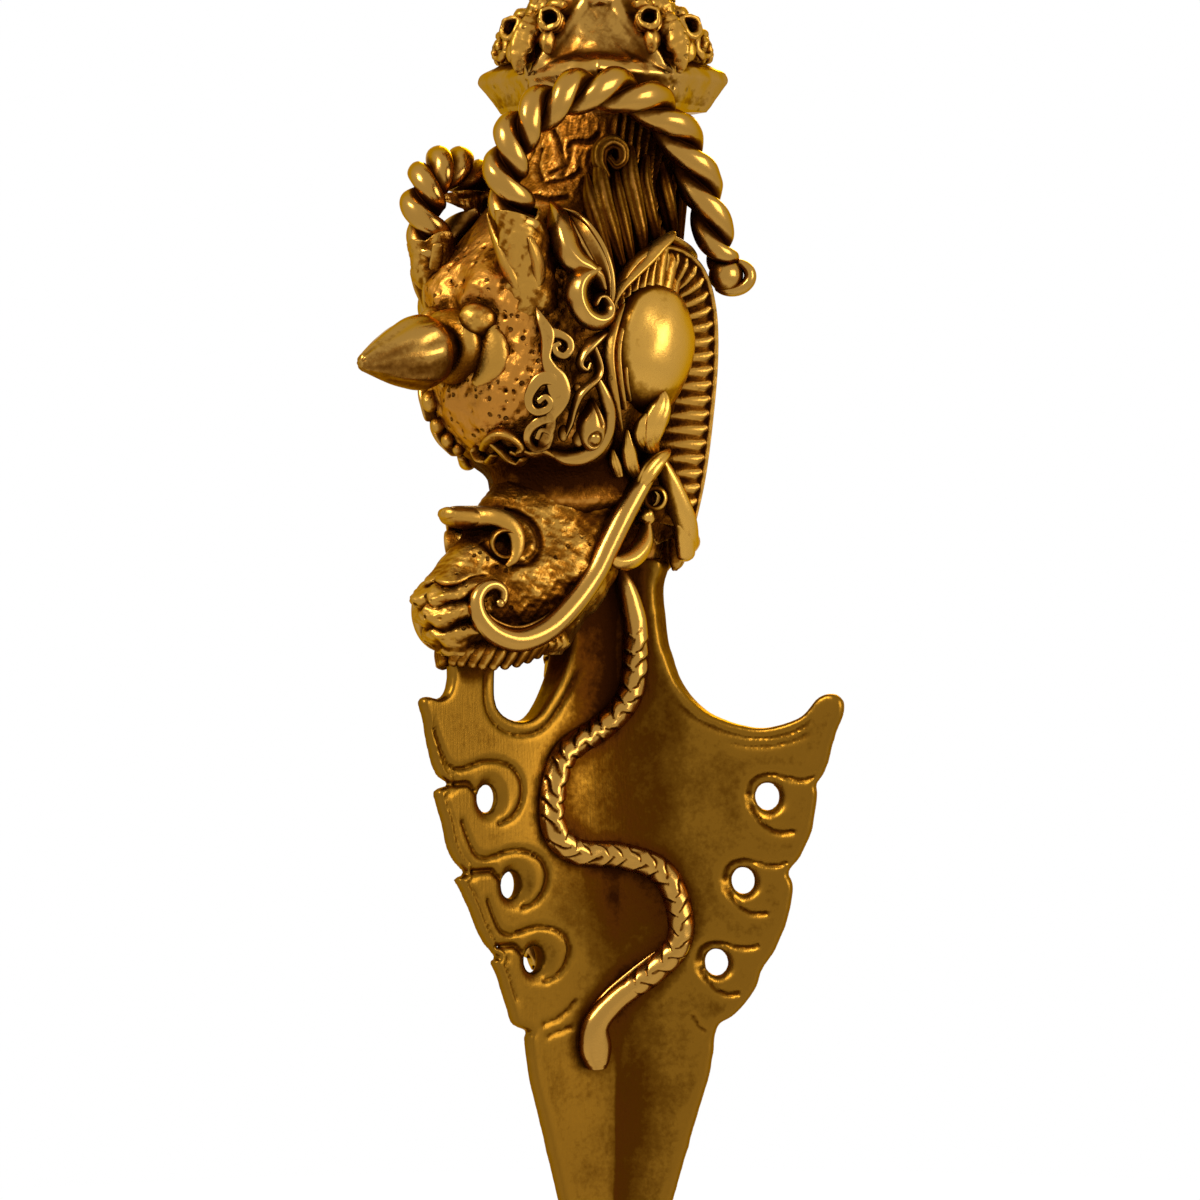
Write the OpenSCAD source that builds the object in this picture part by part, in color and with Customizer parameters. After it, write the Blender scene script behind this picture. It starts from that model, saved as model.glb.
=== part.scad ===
// Phurba: a three-edged ritual dagger of gilt cast bronze. The blade hangs point down out of the
// mouth of a makara, whose head carries two rope-twisted horns, with a knotted, fluted handle above.
// Millimetres. The blade's point is the origin, +Z runs up the handle and the makara faces -Y.

/* [Blade] */
// Length from the point to the tips of the top flames
blade_len = 105.5; // [90:0.5:125]
// Reach of each of the three fins from the axis
fin_reach = 37; // [32:0.5:41]
// Thickness of a fin along its flaming edge
fin_edge = 2.2; // [1.6:0.1:3]
// How far the top edge of a fin dips below its flame tip
saddle_dip = 4.6; // [3:0.1:7]
// Radius of the round hole at the heart of each flame
flame_hole_r = 1.8; // [1.2:0.1:2.2]
// Depth of the slit between two flames
slit_depth = 2.6; // [1:0.1:4]
// Reach of the blade's three-armed neck, where it enters the mouth
neck_reach = 8.6; // [7.6:0.1:9.4]
// Length of the neck from the flame tips up to the palate
neck_len = 20.5; // [17:0.5:24]
// Radius of the round tang that pins the blade into the head
tang_r = 4; // [3:0.1:4.6]
// Length of the tang inside the head
tang_len = 14; // [10:0.5:22]

/* [Snakes] */
// Thickness of a snake's body
snake_d = 3.4; // [2.4:0.1:4]
// Width of a snake's head
snake_head_w = 5; // [4:0.1:6]

/* [Makara head] */
// Height of the head from the palate to the foot of the knot
head_len = 67; // [60:0.5:76]
// Greatest half width of the skull
skull_w = 16; // [14:0.5:18]
// Greatest half depth of the skull, front to back
skull_d = 19.5; // [18:0.5:22]
// How far the snout stands forward of the axis
snout_reach = 36; // [33:0.5:39]
// How far the snout hangs below the palate
snout_drop = 14; // [12:0.5:16]
// Radius of the flared nostrils
nostril_r = 2.3; // [1.6:0.1:2.8]
// Height of the bulging eyeball
eye_h = 6.4; // [5:0.1:8]
// Length of the forehead spike in front of its collar
spike_len = 16; // [12:0.5:22]
// Thickness of the forehead spike
spike_d = 10.6; // [8:0.2:13]
// Thickness of the strip that edges the lips
lip_t = 3.2; // [2.4:0.1:4]
// Height of the round jaw muscle behind the eye
cheek_h = 18; // [14:0.5:22]
// Width of the gill frill's free band
frill_w = 4.4; // [3:0.1:5.4]
// Thickness of the gill frill
frill_t = 2; // [1.4:0.1:2.6]

/* [Horns] */
// Thickness of the twisted horns
horn_d = 6.8; // [5.2:0.1:7.4]
// Number of turns of the twist along each horn
horn_turns = 5.5; // [3:0.5:7]
// Depth of the groove between the two strands, as a share of the radius
strand_groove = 0.42; // [0.2:0.02:0.5]
// Wall of the leaf cup that each horn stands in
cup_wall = 1.4; // [1:0.1:2]
// Length of the tenon at the foot of a horn
horn_tenon_len = 4; // [3:0.5:6]

/* [Knots] */
// Width of the lower knot across its corners
knot_w = 37; // [32:0.5:42]
// Height of the lower knot
knot_h = 16.5; // [14:0.5:20]
// Width of the upper knot across its corners
top_knot_w = 31; // [27:0.5:36]
// Height of the upper knot
top_knot_h = 14; // [12:0.5:17]
// Radius of each knot where it meets its neighbours
knot_foot_r = 11; // [10:0.5:12.5]
// Depth of the hollow in each of a knot's triangular faces
knot_hollow = 2.4; // [1:0.1:3.2]

/* [Handle] */
// Height of each lotus collar
lotus_h = 10; // [8:0.5:13]
// Radius of a lotus collar at its petal tips
lotus_r = 12.6; // [11.5:0.1:15]
// Number of petals round a collar
petals = 12; // [8:1:16]
// Length of the fluted grip
grip_len = 40; // [34:0.5:60]
// Radius of the grip at its swell
grip_r = 9.6; // [8:0.1:11.5]
// Number of flutes round the grip
flutes = 8; // [6:1:10]
// Height of the binding ring at the middle of the grip
ring_h = 5; // [4:0.5:7]
// Radius of the tie rod that runs through the handle
rod_r = 2.5; // [2:0.1:3]
// Depth that the tie rod reaches down into the head
rod_bite = 22; // [16:0.5:28]
// Clearance of a pin or tenon in its hole, on the radius
pin_gap = 0.15; // [0.05:0.05:0.3]

/* [Finial] */
// Height of the half vajra above its seat
vajra_h = 27; // [22:0.5:34]
// Greatest radius of the vajra's claws
vajra_r = 10; // [8:0.5:13]
// Number of claws
claws = 4; // [3:1:6]
// Height of the lotus seat under the half vajra
seat_h = 6; // [5:0.5:9]

/* [Hidden] */
gold = "#c8953a";
deep_gold = "#a8742a";
pale_gold = "#dcb86a";
// Room left at the blind end of a hole
end_play = 0.3;

// Heights along the axis, from the point up
z_mouth = blade_len + neck_len;
z_knot = z_mouth + head_len;
z_lotus = z_knot + knot_h;
z_grip = z_lotus + lotus_h;
grip_half = (grip_len - ring_h) / 2;
z_ring = z_grip + grip_half;
z_top_lotus = z_grip + grip_len;
z_top_knot = z_top_lotus + lotus_h;
z_vajra = z_top_knot + top_knot_h;
z_claws = z_vajra + seat_h;

// Curves: rows of numbers, where every column is carried smoothly from row to row
function unit(v) = v / norm(v);
function mix(a, b, t) = a + (b - a) * t;
function eased(t) = let (k = max(0, min(1, t))) k * k * (3 - 2 * k);
function row_at(c, i) = c[max(0, min(len(c) - 1, i))];
function between(c, i, t) =
  let (a = row_at(c, i - 1), b = row_at(c, i), d = row_at(c, i + 1), e = row_at(c, i + 2))
  0.5 * (2 * b + (d - a) * t + (2 * a - 5 * b + 4 * d - e) * t * t + (3 * b - a - 3 * d + e) * t * t * t);
function smooth(c, steps) = concat(
  [for (i = [0:len(c) - 2], k = [0:steps - 1]) between(c, i, k / steps)], [c[len(c) - 1]]);

// Skins a list of rings that all have the same number of points, wound anticlockwise from the front
module loft(rings) {
  m = len(rings[0]);
  n = len(rings);
  walls = [for (i = [0:n - 2], j = [0:m - 1]) let (a = i * m + j, b = i * m + (j + 1) % m)
    each [[a, a + m, b + m], [a, b + m, b]]];
  polyhedron([for (r = rings) each r],
    concat([[for (j = [0:m - 1]) j]], walls, [[for (j = [m - 1:-1:0]) (n - 1) * m + j]]), convexity = 6);
}

// Sweeps a section of half width rw and half height rh along a path; ups is the way its height stands
function tangents(p) = [for (i = [0:len(p) - 1]) unit(row_at(p, i + 1) - row_at(p, i - 1))];
function squared(u, t) = unit(u - (u * t) * t);
function carried(p, first) =
  let (t = tangents(p))
  [for (i = 0, u = squared(first, t[0]); i < len(p);
      i = i + 1, u = i < len(p) ? squared(u, t[i]) : u) u];
// Turned about its path, a grooved section makes the two strands of a left-laid rope
module sweep(p, ups, rw, rh, sides = 6, turns = 0, groove = 0) {
  t = tangents(p);
  n = len(p);
  loft([for (i = [0:n - 1]) let (u = squared(ups[i], t[i]), s = cross(u, t[i]))
    [for (j = [0:sides - 1])
      let (b = 360 * j / sides, a = b - 360 * turns * i / (n - 1), k = 1 - groove * (1 - cos(2 * b)) / 2)
      p[i] + s * rw[i] * k * cos(a) + u * rh[i] * k * sin(a)]]);
}

module on_side(left) {
  // Pieces are drawn for the makara's +X side and mirrored for the other
  if (left) mirror([1, 0, 0]) children();
  else children();
}

// Fin outline: share of the blade's length, share of the reach; its small steps are the flames
FIN_OUTLINE = [
  [0, 0.016], [0.03, 0.045], [0.1, 0.11], [0.2, 0.19], [0.3, 0.27], [0.4, 0.365], [0.5, 0.44],
  [0.54, 0.462], [0.55, 0.54], [0.6, 0.63], [0.645, 0.71], [0.655, 0.69], [0.7, 0.765],
  [0.755, 0.84], [0.765, 0.81], [0.82, 0.875], [0.87, 0.935], [0.88, 0.905], [0.94, 0.965], [0.985, 1],
  [1, 0.975]
];
// The three flames of a fin: height of the slit above it, reach and height of its hole, all as shares
FLAMES = [[0.875, 0.688, 0.862], [0.76, 0.56, 0.74], [0.65, 0.43, 0.63]];
FIN_ANGLES = [-90, 30, 150];
function fin_dir(a) = [cos(a), sin(a)];
function reach_at(z) = fin_reach * lookup(z / blade_len, FIN_OUTLINE);
function edge_at(z) = min(fin_edge / 2, 0.3 * reach_at(z));
// The hollow between two fins deepens upwards, until only the neck's slim core is left
function pull_at(z) = 0.26 * (1 - eased((z / blade_len - 0.72) / 0.3));
// A place on the hollow face between the fin at angle a and the next, for s from 0 to 1
function face_at(a, z, s) =
  let (e = fin_dir(a), n = fin_dir(a + 90), f = fin_dir(a + 120), m = fin_dir(a + 30),
    reach = reach_at(z), half = edge_at(z), pull = pull_at(z), q = 1 - s,
    xy = q * q * q * (reach * e + half * n) + 3 * q * q * s * (pull * reach * e + 1.3 * half * n)
      + 3 * q * s * s * (pull * reach * f + 1.3 * half * m) + s * s * s * (reach * f + half * m))
  [xy[0], xy[1], z];
function face_out(a, z, s) =
  let (d = face_at(a, z, s + 0.02) - face_at(a, z, s - 0.02)) unit([d[1], -d[0], 0]);
face_cuts = 6;
module fins() {
  // Three hollow-ground fins, drawn right up to the palate before the saddle is cut
  levels = concat([for (row = FIN_OUTLINE) row[0] * blade_len], [z_mouth]);
  loft([for (z = levels) [for (a = FIN_ANGLES, k = [0:face_cuts]) face_at(a, z, k / face_cuts)]]);
}
module in_fin(a, width) {
  // Stands a drawing of reach against height up in the plane of a fin
  rotate([0, 0, a]) rotate([90, 0, 0]) linear_extrude(width, center = true) children();
}
module saddle() {
  // What is turned away above the fins: from the flame tips down, then up again along the neck
  low = blade_len - saddle_dip;
  dip = 0.7 * fin_reach;
  rise = neck_len - 4;
  rotate_extrude($fn = 24) polygon(concat([[neck_reach, z_mouth + 1]],
    [for (t = [0, 0.1, 0.22, 0.38, 0.6, 1]) [mix(neck_reach, dip, t), low + rise * pow(1 - t, 2.6)]],
    [for (t = [0.34, 0.68, 1]) [mix(dip, fin_reach, t), low + saddle_dip * pow(t, 1.5)]],
    [[fin_reach + 5, blade_len + 1], [fin_reach + 5, z_mouth + 1]]));
}
module front_stem() {
  // The front fin climbs on as a stem that holds the snout
  outer = snout_reach - 4.2;
  in_fin(FIN_ANGLES[0], 0.95 * fin_edge)
    polygon([[3, blade_len - 6], [fin_reach - 3, blade_len - 6], [outer + 2, blade_len - 0.5],
      [outer, blade_len + 2.5], [outer + 0.6, z_mouth - snout_drop + 2], [3, z_mouth - snout_drop + 4]]);
}
module jaw_opening() {
  // The egg-shaped way through between blade, stem and snout
  hull() {
    in_fin(FIN_ANGLES[0], 40) translate([0.5 * fin_reach, blade_len + 0.6]) circle(5, $fn = 24);
    in_fin(FIN_ANGLES[0], 40) translate([0.29 * fin_reach, blade_len + 6]) circle(2, $fn = 16);
  }
}
module flame_slit(a, flame) {
  // A slit that sweeps in from the edge towards the flame's hole
  z = flame[0] * blade_len;
  hull() {
    in_fin(a, 8) translate([reach_at(z) + 1.5, z + 0.5]) circle(0.7, $fn = 8);
    in_fin(a, 8) translate([reach_at(z) - slit_depth, z - 0.4]) circle(0.3, $fn = 6);
  }
}
module blade() {
  color(gold) difference() {
    union() {
      difference() {
        fins();
        saddle();
      }
      front_stem();
      translate([0, 0, z_mouth - 1]) cylinder(r = tang_r, h = tang_len + 1, $fn = 24);
    }
    jaw_opening();
    for (a = FIN_ANGLES, f = FLAMES) {
      in_fin(a, 12) translate([f[1] * fin_reach, f[2] * blade_len]) circle(flame_hole_r, $fn = 14);
      flame_slit(a, f);
    }
  }
}

// Snake: share of the blade's length, place across the face, thickness as a share of snake_d
SNAKE = [
  [1.165, 0.555, 0.4], [1.1, 0.565, 0.85], [1.01, 0.55, 1], [0.965, 0.47, 1], [0.925, 0.33, 1],
  [0.87, 0.285, 1], [0.815, 0.29, 1], [0.785, 0.36, 1], [0.778, 0.5, 1], [0.755, 0.63, 1],
  [0.7, 0.7, 1], [0.65, 0.715, 1], [0.61, 0.63, 1], [0.573, 0.48, 1], [0.54, 0.375, 1.15],
  [0.505, 0.36, 1.45], [0.478, 0.36, 0.9]
];
module snake(face) {
  a = FIN_ANGLES[face];
  rows = smooth(SNAKE, 2);
  half = snake_d / 2;
  ups = [for (r = rows) face_out(a, r[0] * blade_len, r[1])];
  path = [for (i = [0:len(rows) - 1]) face_at(a, rows[i][0] * blade_len, rows[i][1]) + ups[i] * half * 0.55];
  wide = [for (r = rows) r[2] > 1 ? mix(half, snake_head_w / 2, (r[2] - 1) / 0.45) : half * r[2]];
  color(pale_gold) difference() {
    sweep(path, ups, wide, [for (r = rows) half * min(1, r[2])], 5);
    blade();
  }
}

// Skull: share of the head's height, centre's y as a share of its depth, half width, half depth
SKULL = [
  [0, -0.16, 0.58, 0.56], [0.06, -0.26, 0.72, 0.68], [0.13, -0.31, 0.77, 0.72], [0.2, -0.38, 0.77, 0.7],
  [0.27, -0.51, 0.9, 0.87], [0.36, -0.56, 1, 0.95], [0.48, -0.54, 1, 1], [0.6, -0.54, 0.94, 0.97],
  [0.7, -0.41, 0.86, 0.87], [0.81, -0.2, 0.8, 0.72], [0.91, -0.05, 0.76, 0.64], [1, 0, 0.76, 0.62]
];
function skull_column(c, size) = [for (s = SKULL) [s[0], s[c] * size]];
// A place on the skull: share of its height, angle round from the face towards +X, lift off it
function on_skull(share, around, lift = 0) =
  [(lookup(share, skull_column(2, skull_w)) + lift) * sin(around),
    lookup(share, skull_column(1, skull_d)) - (lookup(share, skull_column(3, skull_d)) + lift) * cos(around),
    z_mouth + share * head_len];
function skull_out(share, around) = unit(on_skull(share, around, 1) - on_skull(share, around));
module skull_disc(s) {
  translate([0, s[1] * skull_d, z_mouth + s[0] * head_len])
    scale([s[2] * skull_w, s[3] * skull_d, 1]) cylinder(r = 1, h = 0.01, $fn = 20);
}
module skull_form() {
  for (i = [0:len(SKULL) - 2]) hull() {
    skull_disc(SKULL[i]);
    skull_disc(SKULL[i + 1]);
  }
}
module mouth_hollow() {
  // Room for the blade's neck below the palate, and the socket of its tang above
  translate([0, 0, z_mouth - snout_drop - 9]) cylinder(r = neck_reach + 0.6, h = snout_drop + 9, $fn = 24);
  translate([0, 0, z_mouth - 0.01]) cylinder(r = tang_r + pin_gap, h = tang_len + end_play, $fn = 24);
}
module skull() {
  color(deep_gold) difference() {
    skull_form();
    mouth_hollow();
    rod_hole(z_knot - rod_bite, rod_bite + 1);
    spike_tenon(pin_gap);
    for (left = [false, true]) on_side(left) eye_ball();
  }
}

// Snout: share of its drop above the palate, how far behind its tip the front circle's middle lies and
// its radius, then y and radius of the back circle, which ends inside the skull
SNOUT = [
  [-1, 8, 4, -17, 6], [-0.7, 6.3, 5.2, -16, 8], [-0.45, 5.5, 5.6, -14, 9.4], [-0.2, 7.5, 5.4, -13, 10.2],
  [0.08, 11, 5, -11, 10.8], [0.36, 15, 5, -9, 11.2], [0.64, 18.2, 5.2, -8, 11.6], [0.93, 20, 6, -7.5, 11.6]
];
module snout_disc(row) {
  for (c = [[row[1] - snout_reach, row[2]], [row[3] * skull_d / 19.5, row[4] * skull_w / 16]])
    translate([0, c[0], z_mouth + row[0] * snout_drop]) cylinder(r = c[1], h = 0.01, $fn = 16);
}
module snout_form() {
  for (i = [0:len(SNOUT) - 2]) hull() {
    snout_disc(SNOUT[i]);
    snout_disc(SNOUT[i + 1]);
  }
}
module snout() {
  color(gold) difference() {
    snout_form();
    skull_form();
    mouth_hollow();
    front_stem();
  }
}

// Lip strip: x, y, height over the palate, thickness as a share of lip_t; it ends in a curl on the snout
LIP = [
  [13.6, -2.2, 14.6, 0.7], [13.1, -4.4, 11, 0.95], [12.4, -6.8, 6.5, 1], [11.8, -8.8, 2, 1],
  [11.4, -11, -2.5, 1], [10.8, -14.5, -7, 1], [9.8, -19, -10.6, 1], [8.6, -23.8, -12.2, 1],
  [7.4, -27.8, -11.2, 0.9], [6.5, -30.4, -8.6, 0.75], [6.1, -30.6, -5.6, 0.6], [6.6, -29, -4.4, 0.5],
  [7, -27.8, -5.6, 0.45], [7, -28.2, -6.9, 0.35]
];
snout_grow = [skull_w / 16, snout_reach / 36, snout_drop / 14];
function by_snout(x, y, h) = [x * snout_grow[0], y * snout_grow[1], z_mouth + h * snout_grow[2]];
module lip_strip(left) {
  rows = smooth(LIP, 2);
  half = [for (r = rows) r[3] * lip_t / 2];
  on_side(left) color(pale_gold) difference() {
    sweep([for (r = rows) by_snout(r[0], r[1], r[2])], [for (r = rows) [1, -0.35, 0.1]], half, half, 5);
    skull_form();
    snout_form();
  }
}

// Nose: a visor ridge that juts over the snout, and two flared nostrils under it
VISOR = [[-21.4, 5.4, 3.4, 1.4], [-25.4, 5.9, 3.9, 1.7], [-29.4, 6, 3.5, 1.4], [-32, 6.4, 2.4, 0.9]];
module nose_visor() {
  rows = smooth(VISOR, 2);
  color(gold) difference() {
    union() {
      sweep([for (r = rows) by_snout(0, r[0], r[1])], [for (r = rows) [0, 0, 1]],
        [for (r = rows) r[2]], [for (r = rows) r[3]], 6);
      for (side = [-1, 1]) hull() {
        translate(by_snout(side * 1.5, -27.5, 6)) sphere(r = 1.5, $fn = 6);
        translate(by_snout(side * 6.4, -23.4, 5.6)) sphere(r = 1.5, $fn = 6);
      }
    }
    skull_form();
    snout_form();
  }
}
module nostril(left) {
  on_side(left) color(gold) difference() {
    translate(by_snout(5.6, -24.6, 2.2)) rotate([0, 82, -38]) difference() {
      translate([0, 0, -3]) cylinder(r1 = nostril_r * 0.8, r2 = nostril_r, h = 4.8, $fn = 12);
      translate([0, 0, -1.5]) cylinder(r = nostril_r * 0.6, h = 6, $fn = 12);
    }
    skull_form();
    snout_form();
    nose_visor();
  }
}

// Eyes: egg-shaped balls under the brow, half sunk in the skull
EYE_AT = [0.3, 70];
module eye_ball() {
  out = skull_out(EYE_AT[0], EYE_AT[1]);
  translate(on_skull(EYE_AT[0], EYE_AT[1], -0.3)) rotate([0, 0, atan2(out[1], out[0])])
    scale([0.4, 0.35, 0.5] * eye_h) sphere(r = 1, $fn = 14);
}
module eye(left) {
  on_side(left) color(pale_gold) eye_ball();
}

// Scrollwork on the skull: rows of height share, angle round, lift, half width and half height
module skull_strip(rows, sides = 5) {
  sweep([for (r = rows) on_skull(r[0], r[1], r[2])], [for (r = rows) skull_out(r[0], r[1])],
    [for (r = rows) r[3]], [for (r = rows) r[4]], sides);
}
deg_per_mm = 3.9;
function curl(share, around, size, first, turn, lift, half, steps = 5) =
  [for (i = [0:steps]) let (q = i / steps, r = size * (1 - 0.7 * q), a = first + turn * q)
    [share + r * sin(a) / head_len, around + r * cos(a) * deg_per_mm, lift, half * (1 - 0.45 * q), half]];
BROW_STEM = [
  [0.56, 45, 0.5, 0.4, 0.7], [0.5, 47.5, 1, 1.2, 1.1], [0.44, 49, 1, 1.4, 1.1], [0.385, 51, 1, 1.1, 1.1],
  [0.335, 52.5, 1, 1.4, 1.1], [0.285, 49, 0.8, 1, 1], [0.25, 46, 0.7, 1, 0.9], [0.235, 50, 0.6, 0.8, 0.8]
];
EYE_FOLD = [
  [0.49, 77, 0.5, 0.5, 0.8], [0.43, 73, 0.8, 0.8, 0.9], [0.37, 69, 0.7, 0.6, 0.9], [0.27, 58, 0.4, 0.4, 0.7]
];
module brow_scroll(left) {
  on_side(left) color(pale_gold) difference() {
    union() {
      skull_strip(smooth(BROW_STEM, 2), 4);
      skull_strip(curl(0.455, 56, 2.1, 150, -400, 0.9, 0.8), 4);
      skull_strip(curl(0.335, 47.5, 2.2, 80, 420, 0.9, 0.8), 4);
      skull_strip(smooth(EYE_FOLD, 1), 4);
    }
    skull_form();
    eye_ball();
  }
}
module brow_beads() {
  // A string of beads hangs down the forehead, left of the middle
  beads = [[0.39, 1.5], [0.335, 1.2], [0.295, 1.1], [0.26, 0.9]];
  color(pale_gold) difference() {
    for (b = beads) translate(on_skull(b[0], -24, 0.4)) sphere(r = b[1], $fn = 6);
    skull_form();
  }
}

// Jaw muscle: a smooth egg behind the eye, inside the frill; its share of the height, angle and lift
CHEEK_AT = [0.45, 109, -0.7];
module cheek_form() {
  translate(on_skull(CHEEK_AT[0], CHEEK_AT[1], CHEEK_AT[2])) rotate([0, 8, 16])
    scale([0.3, 0.37, 0.5] * cheek_h) sphere(r = 1, $fn = 16);
}
module cheek(left) {
  on_side(left) color(gold) difference() {
    cheek_form();
    skull_form();
  }
}
// Frill: x, y, height share, and how full its band is; it rises before the cheek and falls behind it
FRILL = [
  [15.2, -12.6, 0.3, 0.3], [15.7, -13, 0.42, 0.6], [16, -12.2, 0.55, 0.85], [16.2, -8.8, 0.625, 1],
  [15.8, -3.2, 0.66, 1], [14.9, 3.4, 0.635, 1], [14.2, 6.8, 0.56, 1], [13.9, 7.6, 0.45, 1],
  [13.5, 7, 0.31, 0.85], [13, 5.8, 0.18, 0.4]
];
web_inset = 2;
module frill(left) {
  rows = smooth(FRILL, 3);
  outwards = [1, -0.1, 0];
  // Every other ring is drawn in, which leaves the ribs standing
  ribbed = [for (i = [0:len(rows) - 1]) rows[i][3] * frill_t / 2 * (i % 2 == 0 ? 1 : 0.65)];
  web = [for (i = [3:len(FRILL) - 1]) FRILL[i]];
  on_side(left) color(gold) difference() {
    union() {
      sweep([for (r = rows) [r[0] * skull_w / 16, r[1], z_mouth + r[2] * head_len]],
        [for (r = rows) outwards], [for (r = rows) r[3] * frill_w / 2], ribbed, 4);
      // The web carries the band back to the skull
      sweep([for (r = web) [r[0] * skull_w / 16 - web_inset, r[1] * 0.72, z_mouth + r[2] * head_len]],
        [for (r = web) outwards], [for (r = web) r[3] * frill_w / 2], [for (r = web) 1.1 * frill_t * r[3]], 4);
    }
    skull_form();
    cheek_form();
    lower_jaw_form();
  }
}

// Lower jaw: x, y, height over the palate, half height, half thickness; it runs round behind the blade
JAW = [
  [12.6, -0.4, 14, 1, 1.3], [12.4, 2.6, 9.5, 1.7, 1.9], [11.6, 5.4, 5, 1.9, 2.2], [9.6, 8.6, 2.8, 1.9, 2.2],
  [6, 11.2, 2.6, 1.8, 2.2], [0, 12.6, 2.8, 1.8, 2.3]
];
module lower_jaw_form() {
  half = smooth(JAW, 2);
  rows = concat(half, [for (i = [len(half) - 2:-1:0]) let (r = half[i]) [-r[0], r[1], r[2], r[3], r[4]]]);
  sweep([for (r = rows) [r[0] * skull_w / 16, r[1], z_mouth + r[2]]], [for (r = rows) [r[0], r[1], 0]],
    [for (r = rows) r[4]], [for (r = rows) r[3]], 6);
}
module lower_jaw() {
  color(gold) difference() {
    lower_jaw_form();
    skull_form();
    for (left = [false, true]) lip_strip(left);
  }
}
module fang(at, tilt, fang_len, r) {
  // Its root narrows to half, so that it stays inside the strip or gum that it grows from
  translate(at) rotate(tilt) rotate_extrude($fn = 5)
    polygon([[0, 0], [0.5 * r, 0], [r, 0.25 * fang_len], [0.3, fang_len], [0, fang_len]]);
}
module teeth_upper() {
  // Cutting teeth under each lip strip, and a curved fang at each corner of the mouth
  color(pale_gold) difference() {
    for (side = [-1, 1]) {
      for (i = [0:3]) let (q = i / 3)
        fang(by_snout(side * mix(6.6, 8.8, q), mix(-27, -19, q), -11.6), [180, 0, 0], 3.4, 1.1);
      fang(by_snout(side * 11.7, -9.5, 0.6), [202, side * 6, 0], 7, 1.6);
    }
    for (left = [false, true]) lip_strip(left);
    snout_form();
  }
}
module teeth_lower() {
  // A comb of teeth stands inside the lower jaw, round the back of the blade
  color(pale_gold) difference() {
    for (i = [0:5]) let (a = mix(26, 154, i / 5))
      translate([10 * cos(a), 2.4 + 8.2 * sin(a), z_mouth - 1.2]) cylinder(r = 1, h = 4.4, $fn = 6);
    lower_jaw_form();
    skull_form();
  }
}

// Ear: a pointed leaf, with a thick fore edge that rolls into a curl below
EAR_LEAF = [
  [0.775, 47, 0.4, 0.4, 0.6], [0.72, 57, 1.5, 2, 0.8], [0.65, 67, 1.8, 2.7, 0.8], [0.58, 72.5, 1.3, 2.2, 0.8],
  [0.52, 74, 0.6, 1, 0.7]
];
EAR_ROLL = [
  [0.78, 40, 0.9, 0.5, 0.7], [0.74, 44, 1.9, 1.2, 1.4], [0.68, 51, 2.3, 1.3, 1.4], [0.64, 60, 2.1, 1.1, 1.2]
];
module ear(left) {
  on_side(left) color(pale_gold) difference() {
    union() {
      skull_strip(smooth(EAR_LEAF, 2), 4);
      skull_strip(smooth(EAR_ROLL, 2), 5);
      skull_strip(curl(0.575, 68, 3, 110, 440, 1.6, 1.25, 7), 5);
    }
    skull_form();
  }
}

// Horns: x, y, height share of the line that each rope follows; the left one hangs lower
HORN_RIGHT = [
  [9.3, -27.4, 0.745], [9.4, -29.6, 0.82], [10.1, -28.7, 0.9], [11.9, -25, 0.965], [14.3, -19.3, 1.008],
  [16.2, -12, 1.02], [16.9, -3.2, 0.99], [16.5, 3.5, 0.91], [16.5, 6.8, 0.8], [16.5, 9, 0.69],
  [16.8, 11.6, 0.635], [17, 14.2, 0.65]
];
HORN_LEFT = [
  [9.3, -26, 0.69], [9.5, -27.6, 0.775], [10.2, -25.6, 0.845], [12, -20.1, 0.875], [14.8, -13.6, 0.86],
  [17, -6.6, 0.82], [17.9, -0.6, 0.76], [18, 4, 0.69], [17.8, 7.4, 0.62], [17.6, 10.4, 0.585], [17.6, 12.8, 0.6]
];
function horn_path(left) = [for (r = smooth(left ? HORN_LEFT : HORN_RIGHT, 4))
  [(left ? -1 : 1) * r[0] * skull_w / 16, r[1] * skull_d / 19.5, z_mouth + r[2] * head_len]];
module at_horn_foot(left) {
  p = horn_path(left);
  dir = unit(p[1] - p[0]);
  translate(p[0]) rotate([0, acos(dir[2]), atan2(dir[1], dir[0])]) children();
}
module horn_tenon(left, grow) {
  at_horn_foot(left) translate([0, 0, -horn_tenon_len - grow])
    cylinder(r = 0.3 * horn_d + grow, h = horn_tenon_len + 0.6 + grow, $fn = 14);
}
module horn(left) {
  // Both ropes are laid the same way, so the left horn isn't a mirrored right one
  p = horn_path(left);
  n = len(p);
  half = [for (i = [0:n - 1]) horn_d / 2 * (i > n - 6 ? mix(0.85, 0.6, (i - n + 6) / 5) : 1)];
  color(gold) {
    sweep(p, carried(p, [1, 0, 0]), half, half, 8, horn_turns, strand_groove);
    horn_tenon(left, 0);
  }
}
module horn_cup(left) {
  side = left ? -1 : 1;
  mid = on_skull(0.62, side * 38, -0.4);
  color(gold) difference() {
    union() {
      hull() {
        at_horn_foot(left) translate([0, 0, -1]) cylinder(r = horn_d / 2 + cup_wall, h = 1, $fn = 14);
        translate(mid) sphere(r = 3.6, $fn = 8);
      }
      hull() {
        translate(mid) sphere(r = 3.6, $fn = 8);
        translate(on_skull(0.49, side * 44, -1)) sphere(r = 1.8, $fn = 8);
      }
    }
    horn_tenon(left, pin_gap);
    skull_form();
  }
}

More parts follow.
